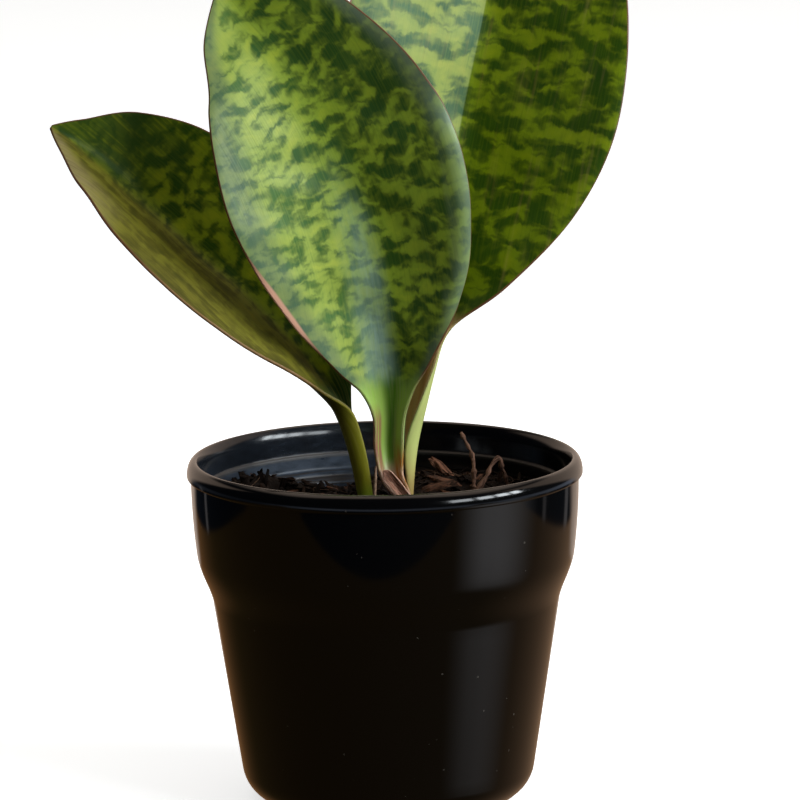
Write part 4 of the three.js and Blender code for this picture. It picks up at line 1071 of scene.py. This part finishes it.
def leafMaterial(name, leaf):
    material, n = newMaterial(name)
    place = n.attribute("leafPlace", "Vector")
    across, along, margin = n.split(place)
    u = n.attribute("acrossShare", "Fac")
    isBlade = n.attribute("isBlade", "Fac")
    run = n.math("MODULO", along, blade["underside"])
    seed = leaf["seed"] * 37      # far apart in the noise
    # mottling: transverse blotches whose edges are jagged by streaks along the leaf
    def cloud(acrossScale, alongScale, offset, detail=2, roughness=0.5, distortion=0, run=along):
        spot = n.join(across * acrossScale, run * alongScale, seed + offset)
        return n.noise(spot, 1, detail, roughness, distortion)

    centred = lambda value, reach: (value - 0.5) * reach
    acrossScale, alongScale = leaf["mottle"]
    # rounded blotches, a little pulled about, with edges frayed along the leaf
    frayed = centred(cloud(0.8, 0.14, 0, 1), 1.7) + centred(cloud(0.17, 0.1, 5, 1), 3.2)
    moved = along + frayed
    blotches = cloud(acrossScale, alongScale, 9, 2.6, 0.50, 0.30, moved)
    # painted sheen: the share of the left half that is painted paler
    left = n.step(u + centred(cloud(0.2, 0.04, 75), 0.2 * (leaf["paintedSheenFrom"][0] - leaf["paintedSheenFrom"][1])),
                  *leaf["paintedSheenFrom"])
    drawn = left * leaf.get("longStreaks", 0)
    streaks = centred(cloud(0.30, 0.045, 33, 3, 0.6), 1.1)
    blotches = blotches * (1 - drawn) + (streaks + 0.5) * drawn
    wide = cloud(0.030, 0.030, 15, 1)
    # painted shade: the right half, turned away from the window, gets more dark blotches
    lean = n.step(u, -0.15, 0.25, -leaf["paintedShadeRight"], leaf["paintedShadeRight"])
    level = centred(wide, 0.14) + lean + (0.5 + (0.5 - leaf["share"]) * 0.4)
    over = blotches - level
    light = n.step(over, -0.055, 0.065)
    tone = cloud(0.05, 0.07, 20, 3, 0.6)
    streak = cloud(1.5, 0.05, 30)
    # painted sheen: the left half, turned towards the window, is painted paler up to the fold at the midrib
    lightest = n.mix(left, leaf["light"], leaf["paintedSheenLight"])
    darkest = n.mix(left, leaf["dark"], leaf["paintedSheenDark"])
    faded = n.mix(1, lightest, blade["paleTint"], "MULTIPLY")
    pale = n.mix(n.step(over, 0.04, 0.20, 0.75, 0), lightest, faded)
    pale = n.mix(n.step(tone, 0.3, 0.7, 0, 0.5), pale, faded)
    deep = n.mix(n.step(tone, 0.35, 0.7), darkest, n.mix(1, darkest, blade["deepTint"], "MULTIPLY"))
    middle = n.mix(0.27, darkest, lightest)
    colour = n.mix(n.step(over, -0.13, -0.02, 0, 0.85), deep, middle)
    colour = n.mix(light, colour, pale)
    colour = n.mix(n.step(streak, 0.4, 0.75, 0, 0.14), colour, lightest)
    colour = n.mix(n.step(streak, 0.45, 0.25, 0, 0.20), colour, darkest)
    # painted sheen: grey-green marks out from a given share of the half width, on the left and, where given,
    # on the right, and a paler painted highlight beside the midrib low on the blade
    paintedSheen = leaf["sheenMarks"]
    soft = 0.16 if abs(paintedSheen["left"][0] - paintedSheen["left"][1]) > 0.1 else 0
    edge = u + centred(cloud(0.3, 0.05, 70), soft)
    sheenMarks, sheenColour = n.step(edge, *paintedSheen["left"]), paintedSheen["colour"]
    if "right" in paintedSheen:
        sheenMarks = n.math("MAXIMUM", sheenMarks, n.step(edge, *paintedSheen["right"]))
        sheenColour = n.mix(n.step(u, -0.2, 0.2), sheenColour, paintedSheen["rightColour"])
    colour = n.mix(sheenMarks * paintedSheen["share"], colour, sheenColour)
    if "highlightShare" in paintedSheen:
        # painted highlight: a bluish streak beside the midrib
        beside = n.step(across, *paintedSheen["streakLeft"]) * n.step(across, *paintedSheen["streakRight"])
        beside = beside * (n.step(run, *paintedSheen["streakFrom"]) * n.step(run, *paintedSheen["streakTo"]))
        beside = beside * n.step(cloud(0.38, 0.045, 80, 3, 0.6), 0.25, 0.7, 0.45, 1)
        colour = n.mix(beside * paintedSheen["highlightShare"], colour, paintedSheen["highlightColour"])
    # stalk: a gutter, plain green or dried, with paler edges; its inside carries painted light and shade,
    # darkest in the middle as painted shade
    under = n.step(along, blade["underside"] - 1, blade["underside"] + 1)
    gutterShadeShare = n.step(n.math("ABSOLUTE", u - 0.15), 0.55, 0.05)
    stalk = n.mix(gutterShadeShare, leaf["stalkInner"], leaf["stalkGutterShade"])
    stalk = n.mix(under, stalk, leaf["stalk"])
    stalk = n.mix(n.step(streak, 0.4, 0.7, 0, 0.30), stalk, leaf["stalkEdge"])
    stalk = n.mix(n.step(margin, 0.6, 0.15, 0, 0.35), stalk, leaf["stalkEdge"])
    stalk = n.mix(n.step(run, leaf["baseFrom"], leaf["baseTo"]), stalk, leaf["base"])
    fade = n.math("MAXIMUM", isBlade, n.step(run, 84, 94)) * n.step(run, 34, 56)
    ragged = fade + centred(cloud(0.5, 0.03, 95, 2), 0.9)
    colour = n.mix(n.step(ragged, 0, 1) * n.step(fade, 0, 0.3), stalk, colour)
    # dried patches, and on the left leaf a dark patch along the lower margin that is painted shade
    for tint, share, sideways, above, below in leaf.get("driedAndShaded", ()):
        patch = n.step(edge, *sideways) * (n.step(run, *above) * n.step(run, *below))
        patch = patch * n.step(cloud(1.1, 0.05, 90, 2), 0.3, 0.6, 0.35, 1)
        colour = n.mix(patch * share, colour, tint)
    # margin: a hard rim, reddish brown, wider where the rim turns outwards
    red = leaf["redMargin"]
    wide = n.step(run, red["from"], red["from"] + 18) * n.step(run, red["to"] + 14, red["to"] - 8)
    wide = wide * n.step(u, 0.2, -0.2)
    width = wide * (red["width"] - blade["rimWidth"]) + blade["rimWidth"]
    rim = n.step(margin / width, 1.15, 0.7)
    rimColour = n.mix(wide, blade["rim"], red["colour"])
    colour = n.mix(rim * fade, colour, rimColour)
    # fine ribs along the leaf, and a waxy gloss that varies
    ribs, pits = cloud(1.5, 0.03, 40), cloud(0.5, 0.4, 50, 3)
    relief = n.bump(ribs * 0.5 + pits * 0.5, 0.35, 0.00022)
    dull = cloud(0.12, 0.05, 60, 3)
    n.surface({"Base Color": colour, "Roughness": n.step(dull, 0.3, 0.7, 0.34, 0.44), "Normal": relief,
               "IOR": 1.45, "Specular IOR Level": leaf["shine"]})
    return material


for name, leaf in leaves.items():
    points, faces, place, shares, blades = leafMesh(leaf)
    piece = addMesh(name, points, faces, leafMaterial(name + "Skin", leaf),
                    vectors={"leafPlace": place}, values={"acrossShare": shares, "isBlade": blades})
    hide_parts(leaf["node"])
print("leaves made")


# dry scale at the foot of the front stalk

scale = {
    "rows": [(9, -10, 97, 1.8, -10, 50, 2, 0.9), (7.2, -9.2, 101.5, 2.6, -10, 60, 2, 0.9),
             (3.8, -8, 106, 2.8, -5, 60, 2, 0.9), (-0.4, -5.9, 110.5, 2.2, 0, 45, 2, 0.9)],
    "stepsPerRow": 16, "acrossPoints": 25, "thickness": 0.4,
    "ragged": 0.07, "raggedSize": 0.9, "length": 16, "taperFrom": 0.72, "crease": 0.38, "seed": 71,
    "dark": (0.13, 0.052, 0.030, 1), "pale": (0.72, 0.36, 0.245, 1), "patch": (0.80, 0.46, 0.33, 1),
    "edge": (0.66, 0.43, 0.32, 1),
}


def driedMaterial():
    material, n = newMaterial("dryScale")
    place = n.attribute("leafPlace", "Vector")
    across, along, margin = n.split(place)
    streak = n.noise(n.join(across * 1.9, along * 0.16, 3), 1, 3, 0.6)
    cloud = n.noise(n.join(across * 0.5, along * 0.35, 9))
    colour = n.mix(n.step(streak, 0.35, 0.62), scale["dark"], scale["pale"])
    colour = n.mix(n.step(cloud, 0.4, 0.7, 0, 0.5), colour, scale["patch"])
    colour = n.mix(n.step(margin, 0.6, 0.1, 0, 0.6), colour, scale["edge"])
    relief = n.bump(streak + cloud * 0.5, 1, 0.0009)
    n.surface({"Base Color": colour, "Roughness": 0.7, "Normal": relief, "Specular IOR Level": 0.25})
    return material


def makeScale():
    # the leaf's own surface with a ragged margin, papery thin
    steps = (len(scale["rows"]) - 1) * scale["stepsPerRow"] + 1
    share = np.linspace(0, 1, steps)
    columns = scale["acrossPoints"]
    edge = np.linspace(-1, 1, columns)[None]
    run, size, seed = share * scale["length"], scale["raggedSize"], scale["seed"]
    ragged = 1 - scale["ragged"] * (1 + cloudNoise(run, 0 * run, size, seed))[:, None]
    taper = np.sqrt(np.clip(1 - smoothStep(scale["taperFrom"], 1, share) ** 2 * 0.96, 0.02, 1))[:, None]
    points, run = leafSurface(scale, share, edge * ragged * taper)
    half = rowsAt(scale["rows"], share)[:, 3]
    normal = unit(np.cross(np.gradient(points, axis=1), np.gradient(points, axis=0)))
    folds = cloudNoise(4.5 * edge + 0 * run[:, None], run[:, None] * 0.25 + 0 * edge, size, seed + 1)
    points = points + normal * scale["crease"] * folds[:, :, None]
    upper, lower = points + normal * scale["thickness"] / 2, points - normal * scale["thickness"] / 2
    loop = np.concatenate([upper, lower[:, ::-1]], 1)
    per = 2 * columns
    faces = gridFaces(steps, per, wrapColumns=True).tolist()
    j = np.arange(columns - 1)
    for row, flip in ((0, True), (steps - 1, False)):
        start = row * per
        quads = np.stack([start + j, start + j + 1, start + per - j - 2, start + per - j - 1], 1)
        faces += (quads[:, ::-1] if flip else quads).tolist()
    both = lambda values: np.concatenate([values, values[:, ::-1]], 1)
    acrossPlace = edge * half[:, None]
    place = np.stack([both(acrossPlace), both(run[:, None] + 0 * edge),
                      both((1 - np.abs(edge)) * half[:, None])], -1)
    piece = addMesh("dryScale", loop, faces, driedMaterial(), vectors={"leafPlace": place})
    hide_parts("sheath")


makeScale()
print("dry scale made")


# twigs

twigs = {
    "twigTall": {"node": "twig_tall", "seed": 61,
                 "path": [(29.4, 7, 95.5), (29.3, 7.5, 101.5), (29.7, 9, 106.5), (29, 11, 111.5),
                          (25.6, 14, 119)]},
    "twigBent": {"node": "twig_bent", "seed": 62,
                 "path": [(29.4, 0.6, 96), (30.6, 1.8, 102), (33.7, 3.9, 106.8), (37.2, 6.2, 111.9),
                          (39, 8.2, 107.4), (40.3, 9.6, 102.6),
                          (41.2, 10.8, 96)]},
}
twigShape = {
    "radius": 0.88, "steps": 90, "sides": 12, "knots": 0.42, "bend": 0.30, "taper": 0.25,
    "noiseLength": 20,      # the twig's whole length in the noise that bends and thickens it
}


def makeTwig(name, twig):
    # a tube along the smooth path, thicker at its knots and thinner at its free end
    share = np.linspace(0, 1, twigShape["steps"])
    place = share * twigShape["noiseLength"]
    bends = [cloudNoise(place, 0 * share + 9 * axis, 1.6, twig["seed"] + 7) for axis in range(3)]
    path = (rowsAt(twig["path"], share) + twigShape["bend"] * np.stack(bends, 1))[None]
    knots = 1 + twigShape["knots"] * cloudNoise(place, 0 * share, 0.9, twig["seed"])
    radius = (twigShape["radius"] * knots * (1 - twigShape["taper"] * share))[None]
    points, faces = tubes(path, radius, twigShape["sides"])
    turn = np.linspace(0, 1, twigShape["sides"], endpoint=False)
    grain = np.stack([share[:, None] * 6 + 0 * turn, np.cos(2 * np.pi * turn) * 2.2 + 0 * share[:, None],
                      np.sin(2 * np.pi * turn) * 2.2 + 0 * share[:, None]], -1)
    tone = 0.45 + 0.25 * cloudNoise(place, 0 * share, 2.5, twig["seed"] + 5)
    piece = addMesh(name, points, faces, twigBark, vectors={"grain": grain},
                    values={"tone": np.repeat(tone, twigShape["sides"])})
    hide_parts(twig["node"])


for name, twig in twigs.items():
    makeTwig(name, twig)
print("twigs made")


# underground stem: the frame's own solid, with a finish

rhizomeFinish = {"skin": (0.56, 0.37, 0.16, 1), "scar": (0.24, 0.12, 0.05, 1), "patch": (0.66, 0.50, 0.27, 1)}


def rhizomeMaterial():
    material, n = newMaterial("paleRhizome")
    place = n.objectPlace()
    scars = n.noise(n.stretch(place, 0.45, 0.08, 0.08), 1, 2, 0.6)
    cloud = n.noise(place, 0.3, 4, 0.6)
    colour = n.mix(n.step(scars, 0.45, 0.65), rhizomeFinish["skin"], rhizomeFinish["scar"])
    colour = n.mix(n.step(cloud, 0.45, 0.75, 0, 0.6), colour, rhizomeFinish["patch"])
    relief = n.bump(scars + cloud * 0.5, 0.5, 0.0005)
    n.surface({"Base Color": colour, "Roughness": 0.6, "Normal": relief})
    return material


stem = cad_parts["rhizome"]
stem.data.materials.clear()
stem.data.materials.append(rhizomeMaterial())

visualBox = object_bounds()
{"cad": [list(corner) for corner in cadBox], "visual": [list(corner) for corner in visualBox]}
